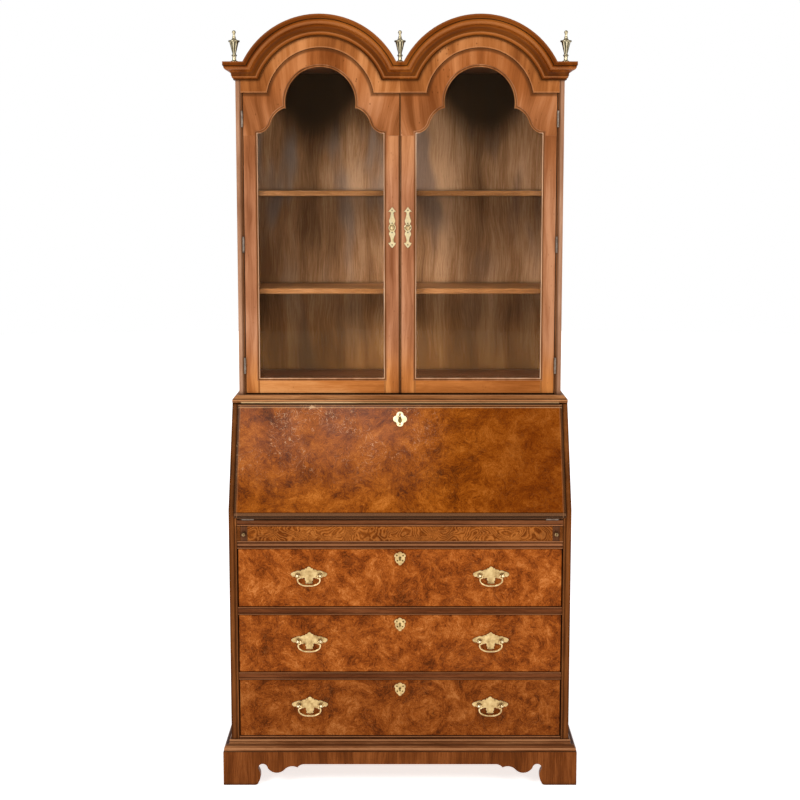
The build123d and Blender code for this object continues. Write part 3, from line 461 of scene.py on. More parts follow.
# Painted highlights and painted shade across the base moulding's profile.
moulding_marks = [(0.1254, 0.0018, line_light, 0.85), (0.1216, 0.0013, line_mid, 0.7),
                  (0.1135, 0.0018, line_mid, 0.5), (0.1045, 0.0026, line_light, 0.85),
                  (0.0972, 0.0016, line_dark, 0.8)]
# A brown band along the cabinet sides' inner edge is painted shade beside the doors.
side_marks = [(0.4425, 0.0050, (0.10, 0.035, 0.012), 0.75)]
# Painted shade in the creases and painted highlights on the beads of the case sides' front edges.
stile_marks = [(0.4518, 0.0014, line_dark, 0.9), (0.4548, 0.0015, line_red, 0.32),
               (0.4590, 0.0018, line_dark, 0.80), (0.4660, 0.0045, line_red, 0.14),
               (0.4738, 0.0014, line_dark, 0.5)]
# Painted highlights on the ridges and painted shade in the cove and creases of the cornice's profile.
cornice_marks = [(0.0060, 0.0090, (0.075, 0.015, 0.002), 0.30), (0.0025, 0.0030, line_red, 0.22),
                 (0.0128, 0.0017, line_dark, 0.95), (0.0225, 0.0050, line_red, 0.42),
                 (0.0375, 0.0075, (0.03, 0.007, 0.001), 0.50), (0.0432, 0.0013, line_dark, 0.45),
                 (0.0468, 0.0034, line_red, 0.45), (0.0555, 0.0036, line_dark, 0.80)]


def head_looks(t, colour, along, across, deep):
    """The heads are pinker near the shoulders; a dark band along their arched outline is painted shadow under
    the frieze's edge.
    """
    low = t.span(uneven_z(t, 11.0, 0.08), 1.89, 2.02, 1.0, 0.0)
    colour = t.mix(low, colour, (1.10, 1.28, 1.75), "MULTIPLY")
    # Painted shadow under the frieze along the arched outline.
    return line(t, colour, door_inward(t), 0.0, 0.0110, line_mid, 0.75)


case_z = wood("walnut_upright", "Z", *case_tones, figure=lined("x", *stile_marks))
case_y = wood("walnut_deep", "Y", *case_tones)
rail_x = wood("walnut_along", "X", *rail_tones, figure=lined("z", *rail_marks))
bed_x = wood("bed_along", "X", *rail_tones, figure=lined("z", *bed_marks))
top_x = wood("desk_top_along", "X", (0.15, 0.048, 0.013), (0.30, 0.115, 0.036), (0.50, 0.225, 0.086),
             figure=lined("z", *top_marks))
moulding_lines = lined("z", *moulding_marks)
moulding_x = wood("base_moulding_along", "X", (0.085, 0.025, 0.007), (0.17, 0.055, 0.018),
                  (0.30, 0.12, 0.045), figure=moulding_lines)
moulding_y = wood("base_moulding_deep", "Y", *rail_tones, figure=moulding_lines)
side_z = wood("cabinet_side_upright", "Z", *side_tones, streak=0.2, figure=lined("x", *side_marks))
door_z = wood("door_upright", "Z", *door_tones, broad=0.38, streak=0.16, specks=0.35, figure=stile_ends)
door_x = wood("door_along", "X", *rail_door_tones, broad=0.5, streak=0.16, specks=0.35)
door_fan = wood("door_head_fan", "fan", *head_tones, band=36.0, broad=0.50, streak=0.12, specks=0.7,
                figure=head_looks)
# The light line along the doors' arched outline is a painted highlight of a bead.
frieze_fan = wood("frieze_fan", "fan", *frieze_tones, band=44.0, broad=0.45, streak=0.14, specks=0.7,
                  figure=lined(door_inward, (-0.0036, 0.0017, line_light, 0.45)))
cornice_lines = lined(cornice_inward, *cornice_marks)
cornice_round = wood("cornice_round", "round", *cornice_tones, coat=0.07, streak=0.18, figure=cornice_lines)
cornice_y = wood("cornice_deep", "Y", *cornice_tones, streak=0.18, figure=cornice_lines)
foot_z = wood("foot_upright", "Z", *foot_tones)
# A dark wood as painted shade, on the cabinet's ceiling and the lopers' fronts.
loper_end = wood("loper_end", "Z", (0.050, 0.016, 0.007), (0.098, 0.034, 0.014), (0.17, 0.066, 0.028))
stop_z = wood("door_stop_upright", "Z", (0.07, 0.022, 0.007), (0.135, 0.047, 0.016), (0.22, 0.085, 0.032),
              grime_and_shade=0.5)
inner_x, inner_y, inner_z = (wood(f"inner_{name}", axis, *inner_tones, gloss=0.5, coat=0.0)
                             for name, axis in (("along", "X"), ("deep", "Y"), ("upright", "Z")))
upper_shelf_x = wood("upper_shelf_along", "X", *(darker(tone, 0.80) for tone in shelf_tones))
lower_shelf_x = wood("lower_shelf_along", "X", *(darker(tone, 1.22) for tone in shelf_tones))


def hood_shadow(t, colour, along, across, deep):
    """The back panel darkens under each arch of the hood with painted shadow, lowest below the arch's middle.
    """
    inner_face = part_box("cabinet_back")[0].y
    sideways = t.math("ABSOLUTE", t.minus(t.math("ABSOLUTE", t.x), 0.252))
    edge = t.plus(1.815, t.times(t.times(sideways, sideways), 7.0))
    shadow_share = t.span(t.minus(t.z, edge), -0.075, 0.060, 0.0, 0.96)
    bluish = t.span(t.noise(t.vec(t.times(along, 0.3), across, deep), 9.0, 2.0), 0.50, 0.66, 0.0, 0.65)
    bluish = t.times(bluish, t.span(t.z, 1.35, 1.65, 0.35, 1.0))
    grey = t.mix(t.span(t.x, -0.05, 0.05), (0.20, 0.158, 0.132), (0.098, 0.078, 0.072))
    colour = t.mix(bluish, colour, grey)
    colour = t.mix(t.span(t.z, 1.12, 1.45, 1.0, 0.0), colour, (0.86, 0.72, 0.46), "MULTIPLY")
    # Only the face towards the shelves takes the painted shadow.
    shadow_share = t.times(shadow_share, t.span(t.y, inner_face + 0.002, inner_face + 0.003, 1.0, 0.0))
    return t.mix(shadow_share, colour, (0.014, 0.0055, 0.0015))


back_z = wood("back_panel_upright", "Z", *back_tones, band=20.0, wave=0.42, figure=hood_shadow, broad=0.42,
              streak=0.28)
burl_tones = ((0.066, 0.012, 0.001), (0.180, 0.034, 0.003), (0.52, 0.172, 0.040), (0.32, 0.075, 0.008))
upper_burl = burl_plain("upper_drawer_burl", *burl_tones)
drawer_burl = burl_plain("drawer_burl", *(darker(tone, 0.95) for tone in burl_tones))
lower_burl = burl_plain("lower_drawer_burl", *(darker(tone, 0.75) for tone in burl_tones))
strip_burl = burl_plain("strip_burl", (0.085, 0.016, 0.001), (0.17, 0.038, 0.003), (0.42, 0.145, 0.030),
                        (0.28, 0.073, 0.008), size=0.7, comb=1.0)


def lid_material():
    """Burl field with a narrow dark edge, a fine inlaid line and a paler rounded rim below, plus a painted
    shadow at the foot, a painted highlight near the top edge and painted sheen on wrinkles at the upper left.
    """
    tones = ((0.070, 0.013, 0.001), (0.185, 0.037, 0.001), (0.50, 0.155, 0.022), (0.31, 0.076, 0.004))
    dark, _, light, _ = tones
    t, colour, rough, normal, plain = burl("lid_burl", *tones, relief=1.0, size=1.0, gloss=0.30)
    # The right-hand side is darker and redder.
    colour = t.mix(t.span(t.x, 0.05, 0.40, 0.0, 0.45), colour, (0.12, 0.018, 0.001))
    rise = t.plus(t.times(t.minus(t.y, LID_FOOT.y), LID_UP.y), t.times(t.minus(t.z, LID_FOOT.z), LID_UP.z))
    half = (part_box("lid_panel")[1].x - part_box("lid_panel")[0].x) / 2
    from_side = t.minus(half, t.math("ABSOLUTE", t.x))
    from_top = t.minus(LID_LENGTH, rise)
    streak = t.noise(t.vec(t.times(t.x, 8.0), t.times(rise, 8.0), 0.0), 60.0, 4.0, 0.6)
    rim = t.ramp(streak, ((0.35, (0.055, 0.018, 0.006)), (0.65, (0.17, 0.066, 0.024))))
    low_rim = t.ramp(streak, ((0.35, (0.075, 0.030, 0.013)), (0.65, (0.19, 0.085, 0.038))))
    colour = t.mix(t.span(from_side, 0.0058, 0.0066, 1.0, 0.0), colour, rim)
    colour = t.mix(t.span(from_side, 0.0, 0.012, 0.55, 0.0), colour, (0.03, 0.009, 0.002))
    colour = t.mix(t.span(rise, 0.0112, 0.0122, 1.0, 0.0), colour, low_rim)
    colour = t.mix(t.span(from_top, 0.0072, 0.0080, 1.0, 0.0), colour, rim)
    # The near-black line at the very foot is a painted shadow, and the light line close to the top edge a
    # painted highlight.
    for distance, place, width, tone, share in (
            (rise, 0.0128, 0.0016, (0.022, 0.006, 0.001), 0.9),
            (rise, 0.0016, 0.0022, (0.006, 0.002, 0.001), 0.95),
            (from_top, 0.0086, 0.0011, (0.03, 0.009, 0.002), 0.8), (from_top, 0.0112, 0.0012, line_pale, 0.5),
            (from_top, 0.0040, 0.0018, line_light, 0.6), (from_side, 0.0080, 0.0010, line_light, 0.35)):
        colour = line(t, colour, distance, place, width, tone, share)
    leftward = t.span(t.x, -0.06, 0.17, 1.0, 0.0)
    upward = t.span(rise, 0.02, 0.27, 0.12, 1.0)
    patchy = t.span(t.noise(t.place, 9.0, 3.0), 0.35, 0.62, 0.6, 1.0)
    # Pale wrinkles towards the upper left: painted sheen on the burl's relief.
    bent = t.vsum(t.place, t.vscale(t.noise(t.place, 26.0, 1.0, colour=True), (0.04,) * 3))
    fold = t.noise(bent, 44.0, 1.0, 0.5, 1.2)
    sheen_wrinkle = t.span(t.math("ABSOLUTE", t.minus(fold, 0.5)), 0.0, 0.013, 1.0, 0.0)
    some = t.span(t.noise(t.place, 12.0, 2.0), 0.38, 0.52)
    sheen_wrinkle = t.times(t.times(sheen_wrinkle, some), t.times(leftward, t.span(rise, 0.06, 0.26)))
    colour = t.mix(t.times(sheen_wrinkle, 0.75), colour, (0.66, 0.43, 0.24))
    t.feed(t.shader.inputs["Coat Weight"], t.times(t.times(leftward, upward), t.times(patchy, 0.32)))
    plain = {**plain, "Coat_IOR": 1.6, "Coat_Roughness": 0.30, "Coat_Tint": (1.0, 0.80, 0.50)}
    del plain["Coat_Weight"]
    return t.finish(t.worn_and_shaded(colour, darker(dark, 0.25), light), rough, normal, **plain)


lid_burl = lid_material()
aged_brass = brass("aged_brass", (0.64, 0.46, 0.21), (0.52, 0.35, 0.15), (0.34, 0.21, 0.08), 0.34)
bail_brass = brass("bail_brass", (0.80, 0.60, 0.31), (0.66, 0.46, 0.21), (0.40, 0.25, 0.10), 0.28)
bright_brass = brass("bright_brass", (1.0, 0.84, 0.50), (0.92, 0.73, 0.40), (0.68, 0.50, 0.23), 0.30)
polished_brass = brass("polished_brass", (0.95, 0.85, 0.60), (0.85, 0.70, 0.42), (0.5, 0.36, 0.16), 0.18)
finial_brass = brass("finial_brass", (0.62, 0.54, 0.36), (0.50, 0.42, 0.26), (0.30, 0.24, 0.13), 0.30,
                     figure=fluted_cup, relief=0.0)
dark_brass = brass("dark_brass", (0.20, 0.13, 0.05), (0.11, 0.065, 0.02), (0.03, 0.016, 0.005), 0.30)
worn_brass = brass("worn_brass", (0.40, 0.27, 0.13), (0.24, 0.15, 0.07), (0.10, 0.06, 0.03), 0.34)
dull_metal = brass("dull_metal", (0.30, 0.24, 0.19), (0.20, 0.155, 0.12), (0.08, 0.055, 0.038), 0.38)
clear_glass = glass_material()


# ---------------------------------------------------------------- materials on the CAD nodes
def solids_of(mesh):
    """The polygon numbers of each separate solid of a mesh, with its lowest and highest corners."""
    bm = bmesh.new()
    bm.from_mesh(mesh)
    bm.faces.ensure_lookup_table()
    number = bm.faces.layers.int.new("number")
    for face in bm.faces:
        face[number] = face.index
    bmesh.ops.remove_doubles(bm, verts=bm.verts, dist=1e-6)
    seen, groups = set(), []
    for first in bm.faces:
        if first in seen:
            continue
        seen.add(first)
        stack, members = [first], []
        while stack:
            face = stack.pop()
            members.append(face)
            for edge in face.edges:
                for other in edge.link_faces:
                    if other not in seen:
                        seen.add(other)
                        stack.append(other)
        points = [v.co for face in members for v in face.verts]
        low = Vector(min(p[i] for p in points) for i in range(3))
        high = Vector(max(p[i] for p in points) for i in range(3))
        groups.append(([face[number] for face in members], low, high))
    bm.free()
    return groups


def divide(mesh, pick):
    """Shares a mesh's materials out among its solids."""
    for members, low, high in solids_of(mesh):
        index = pick(low, high)
        for polygon in members:
            mesh.polygons[polygon].material_index = index


def paint(names, *materials, pick=None):
    """Gives nodes their materials; pick(low, high) says which one a solid takes."""
    for name in names:
        mesh = nodes[name].data
        mesh.materials.clear()
        for material in materials:
            mesh.materials.append(material)
        if pick:
            divide(mesh, pick)


def longest(low, high):
    size = high - low
    return max(range(3), key=lambda axis: size[axis])


def door_part(low, high):
    if high.z > ARCH_Z:
        return 2
    return 1 if high.x - low.x > high.z - low.z else 0


paint([f"case_side_{side}" for side in both], case_z)
paint([f"cabinet_side_{side}" for side in both], side_z)
paint(["drawer_rails", "cabinet_bottom"], rail_x, case_y, case_z, pick=longest)
paint(["base_moulding"], moulding_x, moulding_y, case_z, pick=longest)
paint(["desk_top"], top_x)
paint(["writing_bed"], bed_x)
paint(["shelf_upper"], upper_shelf_x)
paint(["shelf_lower"], lower_shelf_x)
paint(["bracket_base_front", "bracket_base_sides"], foot_z)
# The cabinet's ceiling, seen through the glass, is dark as painted shade.
paint(["cabinet_top"], loper_end)
paint(["plinth_frame", "gallery_frame", "dust_boards"], inner_x, inner_y, inner_z, pick=longest)
paint(["loper_guides"], case_y)
paint(["case_back"], inner_z)
paint(["cabinet_back"], back_z)
paint(["loper_strip"], strip_burl)
paint(["frieze_board"], frieze_fan)
paint(["cornice_front"], cornice_round)
paint(["cornice_returns"], cornice_y)
paint(["lid_panel"], lid_burl)
for side in both:
    paint([f"door_{side}_frame"], door_z, door_x, door_fan, pick=door_part)
    paint([f"door_{side}_glass"], clear_glass)
    nodes[f"door_{side}_glass"].visible_shadow = False
    paint([f"door_{side}_pull"], bright_brass)
    paint([f"door_{side}_hinge_leaves"], dull_metal)
    # The lopers' fronts are dark as painted shade under the lid.
    paint([f"loper_{side}"], loper_end, worn_brass, pick=lambda low, high: int(high.y - low.y < 0.03))
for number in (1, 2, 3):
    paint([f"drawer_{number}_front"], (upper_burl, drawer_burl, lower_burl)[number - 1])
    paint([f"drawer_{number}_box"], inner_x, inner_y, inner_z, pick=longest)
    paint([f"drawer_{number}_brasses"], aged_brass)
    paint([f"bail_{number}_{side}" for side in both], bail_brass)
    paint([f"gallery_drawer_{number}"], inner_x, inner_y, inner_z, pick=longest)
paint(["case_hinge_leaves", "bed_hinge_leaves", "lid_hinge_leaves"], dull_metal)
paint(["shelf_pins", "finials"], finial_brass)
paint(["lid_escutcheon"], bright_brass)
# The keyhole cover is dark brass as painted shade.
paint(["lid_keyhole_cover"], dark_brass)


# ---------------------------------------------------------------- fine pieces
def place(name, bm, materials, body, slot, smooth=35.0):
    """A new object from bm, smooth but for edges sharper than smooth degrees, riding on a body."""
    mesh = bpy.data.meshes.new(name)
    bm.normal_update()
    bm.to_mesh(mesh)
    bm.free()
    for material in materials if isinstance(materials, (list, tuple)) else (materials,):
        mesh.materials.append(material)
    for polygon in mesh.polygons:
        polygon.use_smooth = True
    mesh.set_sharp_from_angle(angle=math.radians(smooth))
    piece = bpy.data.objects.new(name, mesh)
    bpy.context.scene.collection.objects.link(piece)
    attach(piece, body)
    return piece


def eased(name, width, materials, slot, pick):
    """A copy of a CAD node with its outer edges rounded, standing for the node."""
    bm = bmesh.new()
    bm.from_mesh(nodes[name].data)
    bmesh.ops.remove_doubles(bm, verts=bm.verts, dist=1e-6)
    bmesh.ops.dissolve_limit(bm, angle_limit=math.radians(0.4), verts=bm.verts, edges=bm.edges)
    bmesh.ops.recalc_face_normals(bm, faces=bm.faces)
    edges = [edge for edge in bm.edges if edge.is_manifold and edge.is_convex
             and edge.calc_face_angle(0) > math.radians(50)]
    bmesh.ops.bevel(bm, geom=edges, offset=width, offset_type="OFFSET", segments=2, profile=0.5,
                    affect="EDGES", clamp_overlap=True)
    bmesh.ops.triangulate(bm, faces=[face for face in bm.faces if len(face.verts) > 4])
    piece = place(f"{name}_eased", bm, materials, nodes[name]["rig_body"], slot)
    divide(piece.data, pick)
    piece.modifiers.new("weighted", "WEIGHTED_NORMAL").keep_sharp = True
    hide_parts(name)


def arc(start, middle, end, count):
    """Points along the circle through three points, without the first."""
    (ax, ay), (bx, by), (cx, cy) = start, middle, end
    d = 2 * (ax * (by - cy) + bx * (cy - ay) + cx * (ay - by))
    a2, b2, c2 = ax * ax + ay * ay, bx * bx + by * by, cx * cx + cy * cy
    ox = (a2 * (by - cy) + b2 * (cy - ay) + c2 * (ay - by)) / d
    oy = (a2 * (cx - bx) + b2 * (ax - cx) + c2 * (bx - ax)) / d
    first, mid, last = (math.atan2(y - oy, x - ox) for x, y in (start, middle, end))
    full = 2 * math.pi
    turn, part = (last - first) % full, (mid - first) % full
    if part > turn:
        turn -= full
    radius = math.hypot(ax - ox, ay - oy)
    angles = [first + turn * i / count for i in range(1, count + 1)]
    return [(ox + radius * math.cos(a), oy + radius * math.sin(a)) for a in angles]


def glass_outline():
    """The glazed opening about its arch's centre line: stiles, ogee shoulders, cusps and round arch."""
    low, shoulder, half, cusp = 1.130, 1.816, 0.1765, 0.0973
    turn, top = shoulder + 0.029, shoulder + 0.069
    right = [(half, low + (shoulder - low) * i / 20) for i in range(21)]
    right += arc((half, shoulder), (0.1536, shoulder + 0.0082), (0.139, turn), 14)
    right += arc((0.139, turn), (0.1252, turn + 0.0246), (0.103, top), 14)
    right += [(cusp, top)]
    over = arc((cusp, top), (0, ARCH_Z + 0.0984), (-cusp, top), 64)
    left = [(-x, z) for x, z in reversed(right[:-1])]
    base = [(-half + 2 * half * i / 12, low) for i in range(1, 12)]
    return right + over + left + base


def skin(bm, one, two, turned=False, closed=True):
    """Quads between two rows of points; turned ones face the other way."""
    count = len(one)
    for k in range(count if closed else count - 1):
        m = (k + 1) % count
        bm.faces.new((one[k], two[k], two[m], one[m]) if turned else (one[k], one[m], two[m], two[k]))


def sweep_ring(bm, outline, section):
    """Sweeps a section round a closed outline in X and Z; a section point is (outwards, Y)."""
    count = len(outline)
    rings = []
    for i, (x, z) in enumerate(outline):
        before, after = Vector(outline[i - 1]), Vector(outline[(i + 1) % count])
        here = Vector((x, z))
        ahead, behind = (after - here).normalized(), (here - before).normalized()
        out_a, out_b = Vector((ahead.y, -ahead.x)), Vector((behind.y, -behind.x))
        out = (out_a + out_b).normalized()
        out /= max(0.55, out.dot(out_a))
        rings.append([bm.verts.new((x + out.x * o, y, z + out.y * o)) for o, y in section])
    for one, two in zip(rings, rings[1:] + rings[:1]):
        skin(bm, one, two, turned=True, closed=False)


def make_lip_beads():
    """The moulded lip between each door's frame and its glass: groove, bead and inner slope, in lit and
    shaded copies of one wood as painted light.
    """
    face_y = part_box("door_left_frame")[0].y
    inner = [(-0.0012, face_y + 0.0085), (-0.0010, face_y + 0.0040)]
    bead = [(0.0002 - 0.0012 * math.cos(a), face_y + 0.0012 - 0.0018 * math.sin(a))
            for a in (math.pi * i / 8 for i in range(9))]
    groove = [(0.0018, face_y - 0.0001), (0.0044, face_y - 0.0001), (0.0048, face_y - 0.0009),
              (0.0062, face_y - 0.0008), (0.0066, face_y + 0.0004)]
    section = inner + bead + groove
    outline = glass_outline()
    shoulder = 1.817
    for side, sign in (("left", -1), ("right", 1)):
        bm = bmesh.new()
        sweep_ring(bm, [(x + sign * ARCH_X, z) for x, z in outline], section)
        bmesh.ops.recalc_face_normals(bm, faces=bm.faces)
        bm.faces.ensure_lookup_table()
        across = len(section) - 1
        # The straight bead takes the pale copy as painted highlight; the groove and the curved inner slope
        # take the dark copy as painted shade.
        for index, face in enumerate(bm.faces):
            k = index % across
            curved = face.calc_center_median().z > shoulder
            if k < 3:
                face.material_index = 2 if curved else 1
            elif k < 10:
                face.material_index = 1 if curved else 0
            elif k < 12:
                face.material_index = 2
            else:
                face.material_index = 3
        place(f"door_{side}_lip_bead", bm, (lip_highlit, lip_mid, lip_shaded, lip_outer), f"door_{side}",
              "walnut", 50.0)


def board(bm, low, high):
    """A plain board between two corners."""
    made = bmesh.ops.create_cube(bm, size=1.0)["verts"]
    middle, size = [(a + b) / 2 for a, b in zip(low, high)], [b - a for a, b in zip(low, high)]
    for vert in made:
        vert.co = Vector(m + c * s for m, c, s in zip(middle, vert.co, size))


def make_stops():
    """Strips that back the gaps beside and above the doors."""
    near_door, stile_in = 0.4375, 0.4423
    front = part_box("cabinet_side_left")[0].y
    bm = bmesh.new()
    for sign in (-1, 1):
        xs = sorted((sign * near_door, sign * stile_in))
        board(bm, (xs[0], front + 0.0020, 1.0838), (xs[1], front + 0.0080, 1.925))
    bmesh.ops.bevel(bm, geom=bm.edges[:], offset=0.0004, segments=1, affect="EDGES")
    place("door_stop_strips", bm, stop_z, "desk", "walnut", 30.0)
    face_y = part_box("door_left_frame")[0].y
    # The strip between the doors takes the dark copy of the lip's wood as painted shade in the gap.
    bm = bmesh.new()
    board(bm, (-0.0023, face_y + 0.0025, 1.0890), (0.0016, face_y + 0.0085, 1.9240))
    place("door_meeting_strip", bm, lip_shaded, "door_left", "walnut", 30.0)
    bm = bmesh.new()
    outer, inner, near, far = 0.1600, 0.1400, front + 0.0203, front + 0.0218
    for sign in (-1, 1):
        rings = []
        for i in range(49):
            angle = math.radians(-8 + 196 * i / 48)
            rings.append([bm.verts.new((sign * ARCH_X + r * math.cos(angle), y, ARCH_Z + r * math.sin(angle)))
                          for r, y in ((inner, near), (outer, near), (outer, far), (inner, far))])
        for one, two in zip(rings, rings[1:]):
            skin(bm, one, two, turned=True)
        bm.faces.new(rings[0])
        bm.faces.new(list(reversed(rings[-1])))
    bmesh.ops.recalc_face_normals(bm, faces=bm.faces)
    place("arched_door_stops", bm, stop_z, "desk", "walnut", 30.0)


def make_lid_rest():
    """A bead under the front edge of the desk top, just above the shut lid, pale as a painted highlight."""
    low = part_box("desk_top")[0]
    bm = bmesh.new()
    outline = [(low.y + 0.030, low.z - 0.0135), (low.y + 0.030, low.z + 0.0010)]
    outline += [(low.y + 0.0022 - 0.0030 * math.cos(a), low.z + 0.0012 + 0.0030 * math.sin(a))
                for a in (math.pi * (0.45 - 0.95 * k / 10) for k in range(11))]
    reach = 0.4495
    ends = [[bm.verts.new((x, y, z)) for y, z in outline] for x in (-reach, reach)]
    skin(bm, *ends)
    for end in ends:
        bm.faces.new(end)
    bmesh.ops.recalc_face_normals(bm, faces=bm.faces)
    place("lid_rest_bead", bm, highlit_bead_x, "desk", "walnut", 40.0)


def turns(count):
    return [2 * math.pi * k / count for k in range(count)]


def rays(axis, count):
    """Unit vectors all round an axis."""
    side = axis.orthogonal().normalized()
    other = axis.cross(side).normalized()
    return [side * math.cos(a) + other * math.sin(a) for a in turns(count)]


def torus(bm, centre, axis, major, minor):
    """A round ring about an axis through its centre."""
    rings = [[bm.verts.new(centre + out * (major + minor * math.cos(b)) + axis * (minor * math.sin(b)))
              for b in turns(12)] for out in rays(axis, 40)]
    for one, two in zip(rings, rings[1:] + rings[:1]):
        skin(bm, one, two, turned=True)


def dome(bm, centre, axis, radius, height, steps=5):
    """A low round head standing on a face."""
    rings = [[bm.verts.new(centre + out * radius * math.cos(lean) + axis * height * math.sin(lean))
              for out in rays(axis, 20)] for lean in (math.pi / 2 * j / steps for j in range(steps))]
    tip = bm.verts.new(centre + axis * height)
    for one, two in zip(rings, rings[1:]):
        skin(bm, one, two)
    crown = rings[-1]
    for one, two in zip(crown, crown[1:] + crown[:1]):
        bm.faces.new((one, two, tip))


def make_brass_details():
    """Nails and rings on the door pulls, heads and rings on the drawer posts, dark cuts on the escutcheons,
    eyes on the lopers' knobs and a pin on the lid's escutcheon.
    """
    for side in both:
        low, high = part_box(f"door_{side}_pull")
        x, z = (low.x + high.x) / 2, (low.z + high.z) / 2
        face_y = high.y - 0.0018
        bm = bmesh.new()
        torus(bm, Vector((x, face_y, z)), OUTWARDS, 0.0086, 0.0012)
        dome(bm, Vector((x, low.y + 0.0005, z)), OUTWARDS, 0.0030, 0.0009)
        place(f"door_{side}_pull_ring", bm, polished_brass, f"door_{side}", "brass")
        bm = bmesh.new()
        # A thin dark ring round the knob is painted shade; the nails are dark brass.
        torus(bm, Vector((x, face_y, z)), OUTWARDS, 0.0069, 0.0007)
        for up in (0.0480, 0.0120, -0.0135, -0.0480):
            dome(bm, Vector((x, face_y, z + up)), OUTWARDS, 0.0019, 0.0005)
        place(f"door_{side}_pull_nails", bm, dark_brass, f"door_{side}", "brass")
    pull_x, half_bail = 0.253, 0.03175
    for number in (1, 2, 3):
        low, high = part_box(f"drawer_{number}_front")
        face_y, crest_z = low.y, high.z - 0.027
        pull_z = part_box(f"bail_{number}_left")[1].z - 0.0023
        posts = [pull + post for pull in (-pull_x, pull_x) for post in (-half_bail, half_bail)]
        bm = bmesh.new()
        for x in posts:
            dome(bm, Vector((x, face_y - 0.0142, pull_z)), OUTWARDS, 0.0034, 0.0016)
        place(f"drawer_{number}_post_heads", bm, polished_brass, f"drawer_{number}", "brass")
        bm = bmesh.new()
        for x in posts:
            torus(bm, Vector((x, face_y - 0.0018, pull_z)), OUTWARDS, 0.0058, 0.0006)
        place(f"drawer_{number}_post_rings", bm, worn_brass, f"drawer_{number}", "brass")
        # Dark discs for the keyhole and the pierced holes: painted shade.
        bm = bmesh.new()
        for x, up, radius in (
                (0, 0.0022, 0.0040), (0, -0.0036, 0.0032), (-0.0088, 0.0085, 0.0026),
                (0.0088, 0.0085, 0.0026), (-0.0072, -0.0060, 0.0026), (0.0072, -0.0060, 0.0026)):
            dome(bm, Vector((x, face_y - 0.0017, crest_z + up)), OUTWARDS, radius, 0.0003)
        place(f"drawer_{number}_escutcheon_cuts", bm, dark_brass, f"drawer_{number}", "brass")
    for side in both:
        low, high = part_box(f"loper_{side}")
        bm = bmesh.new()
        x, z = (low.x + high.x) / 2, (low.z + high.z) / 2
        dome(bm, Vector((x, low.y + 0.0002, z)), OUTWARDS, 0.0024, 0.0007)
        place(f"loper_{side}_knob_eye", bm, dark_brass, f"loper_{side}", "brass")
    below_top, thickness, plate = 0.046, 0.020, 0.0018
    crest = LID_FOOT + LID_UP * (LID_LENGTH - below_top) + LID_OUT * (thickness + plate)
    # Dark discs for the escutcheon's cut-outs: painted shade.
    bm = bmesh.new()
    for up in (0.0145, -0.0155):
        dome(bm, crest + LID_UP * up, LID_OUT, 0.0026, 0.0003)
    place("lid_escutcheon_cuts", bm, dark_brass, "lid", "brass")
    bm = bmesh.new()
    dome(bm, crest + LID_UP * 0.0075 + LID_OUT * 0.0032, LID_OUT, 0.0026, 0.0012)
    place("lid_escutcheon_pin", bm, polished_brass, "lid", "brass")


def lathe(bm, profile, centre, flutes, depth, low, high):
    """Turns (radius, height) points about a vertical axis, with flutes cut between two heights."""
    rings = []
    for radius, height in profile:
        ring = []
        for angle in turns(72):
            r = radius
            if low <= height <= high:
                r *= 1 - depth * abs(math.sin(flutes * angle / 2)) ** 0.7
            ring.append(bm.verts.new(centre + Vector((r * math.cos(angle), r * math.sin(angle), height))))
        rings.append(ring)
    for one, two in zip(rings, rings[1:]):
        skin(bm, one, two)
    bm.faces.new(list(reversed(rings[0])))
    bm.faces.new(rings[-1])


def make_finials():
    """Brass urns with fluted cups and ball tops."""
    low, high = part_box("finials")
    body = [(9.8, 0), (9.8, 1.6), (8.8, 2.6), (6.6, 3.4), (5.6, 4.6), (5.2, 7.5), (5.2, 14.4), (6.9, 15.0),
            (7.3, 15.8), (7.3, 18.4), (6.9, 19.4), (4.9, 20.0), (4.7, 20.8)]
    cup = [(4.7 + 8.0 * i / 14, 21.0 + 32.0 * i / 14) for i in range(1, 15)]
    rim = [(15.3, 53.3), (15.6, 53.7), (15.6, 57.1), (15.2, 57.6), (11.6, 57.9), (8.6, 58.9), (6.3, 61.0),
           (5.0, 63.6), (4.5, 66.2), (5.0, 66.8), (5.0, 67.6), (3.6, 68.4), (3.3, 70.0), (3.4, 74.2)]
    ball = [(5.3 * math.sin(a), 79.7 - 5.3 * math.cos(a)) for a in
            (math.pi * k / 12 for k in range(3, 12))] + [(0.3, 85.0)]
    profile = [(r * MM, z * MM) for r, z in body + cup + rim + ball]
    scale = (high.z - low.z) / profile[-1][1]
    bm = bmesh.new()
    foot_radius = 0.0166
    for x in (low.x + foot_radius, 0.0, high.x - foot_radius):
        lathe(bm, [(r, z * scale) for r, z in profile], Vector((x, (low.y + high.y) / 2, low.z)),
              flutes=8, depth=0.07, low=0.0212, high=0.0526)
    piece = place("finials_fluted", bm, finial_brass, "desk", "brass", 40.0)
    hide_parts("finials")


def highlight_fading(t, colour, along, across, deep):
    """The painted highlight on the bead under the desk top grows duller towards the right."""
    return t.mix(t.span(t.x, -0.10, 0.40, 0.0, 0.6), colour, (0.20, 0.085, 0.030))


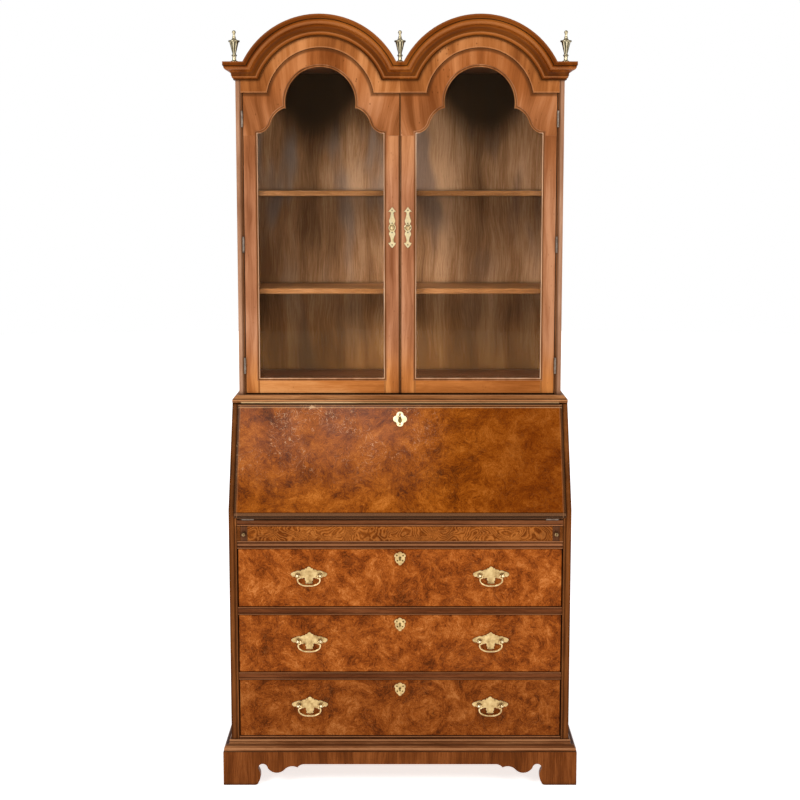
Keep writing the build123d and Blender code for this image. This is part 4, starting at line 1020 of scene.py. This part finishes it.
# Copies of the lip's wood: the pale one stands for painted highlight and the dark one for painted shade.
lip_highlit, lip_mid, lip_shaded, lip_outer = (
    wood(f"lip_bead_{name}", "Z", *tones, streak=0.15) for name, *tones in (
        ("pale", (0.30, 0.15, 0.08), (0.50, 0.30, 0.18), (0.68, 0.46, 0.31)),
        ("mid", (0.16, 0.05, 0.014), (0.28, 0.10, 0.032), (0.42, 0.18, 0.07)),
        ("dark", (0.06, 0.018, 0.005), (0.12, 0.040, 0.011), (0.20, 0.075, 0.024)),
        ("outer", (0.15, 0.045, 0.014), (0.27, 0.095, 0.036), (0.42, 0.18, 0.08))))
# The bead's pale wood is a painted highlight.
highlit_bead_x = wood("pale_bead_along", "X", (0.28, 0.15, 0.06), (0.46, 0.28, 0.13), (0.66, 0.44, 0.24), streak=0.2,
              figure=highlight_fading)
make_lip_beads()
make_stops()
make_lid_rest()
make_brass_details()
make_finials()
for side in both:
    eased(f"door_{side}_frame", 0.0016, (door_z, door_x, door_fan), "walnut", door_part)

# ---------------------------------------------------------------- stage, light and camera
def floor_material():
    t = Tree("pale_floor")
    shade = t.noise(t.place, 3.0, 3.0)
    glow = t.span(t.length(t.x, t.y), 0.3, 1.6, 0.72, 1.0)
    return t.finish(t.ramp(shade, ((0.3, (0.86,) * 3), (0.7, (0.89,) * 3))), 0.7, Specular_IOR_Level=0.1,
                    Emission_Color=(1, 1, 1), Emission_Strength=glow)


def make_floor():
    bm = bmesh.new()
    bmesh.ops.create_circle(bm, cap_ends=True, radius=14.0, segments=96)
    mesh = bpy.data.meshes.new("floor")
    bm.to_mesh(mesh)
    bm.free()
    floor = bpy.data.objects.new("floor", mesh)
    mesh.materials.append(floor_material())
    bpy.context.scene.collection.objects.link(floor)


def soft_light(name, place, aim, width, height, power):
    data = bpy.data.lights.new(name, "AREA")
    data.shape = "RECTANGLE"
    data.size, data.size_y, data.energy = width, height, power
    lamp = bpy.data.objects.new(name, data)
    lamp.location = place
    lamp.rotation_euler = (Vector(aim) - Vector(place)).to_track_quat("-Z", "Y").to_euler()
    bpy.context.scene.collection.objects.link(lamp)


def make_world():
    """White behind the desk and behind its panes when looked through, with a softer light from all round."""
    world = bpy.data.worlds.new("studio")
    bpy.context.scene.world = world
    w = Nodes(world)
    path = w.add("ShaderNodeLightPath").outputs
    not_bounced = w.math("LESS_THAN", w.plus(path["Diffuse Depth"], path["Glossy Depth"]), 0.5)
    through_glass = w.times(path["Is Transmission Ray"], not_bounced)
    choice = w.add("ShaderNodeMixShader")
    w.feed(choice.inputs[0], w.math("MAXIMUM", path["Is Camera Ray"], through_glass))
    lit_strength, seen_strength = 0.34, 1.0
    for socket, strength in zip(choice.inputs[1:], (lit_strength, seen_strength)):
        light = w.add("ShaderNodeBackground")
        w.feed(light.inputs[0], (1, 1, 1, 1))
        w.feed(light.inputs[1], strength)
        w.feed(socket, light.outputs[0])
    w.feed(w.add("ShaderNodeOutputWorld").inputs[0], choice.outputs[0])


def make_camera():
    data = bpy.data.cameras.new("camera")
    data.lens, data.sensor_width = 72.0, 36.0
    data.clip_end = 60.0
    camera = bpy.data.objects.new("camera", data)
    camera.location = (0, -4.5665, 1.673)
    tilt_down = 7.65
    camera.rotation_euler = (math.radians(90 - tilt_down), 0, 0)
    bpy.context.scene.collection.objects.link(camera)
    bpy.context.scene.camera = camera


make_floor()
make_world()
make_camera()
soft_light("key", (-2.6, -3.4, 3.3), (0, 0, 1.1), 1.8, 1.8, 90)
soft_light("fill", (2.8, -3.4, 3.0), (0, 0, 1.1), 1.8, 1.8, 70)
soft_light("over", (-0.25, -2.05, 3.3), (-0.1, 0, 0.95), 0.9, 0.45, 9)
bpy.context.scene.view_settings.view_transform = "Standard"
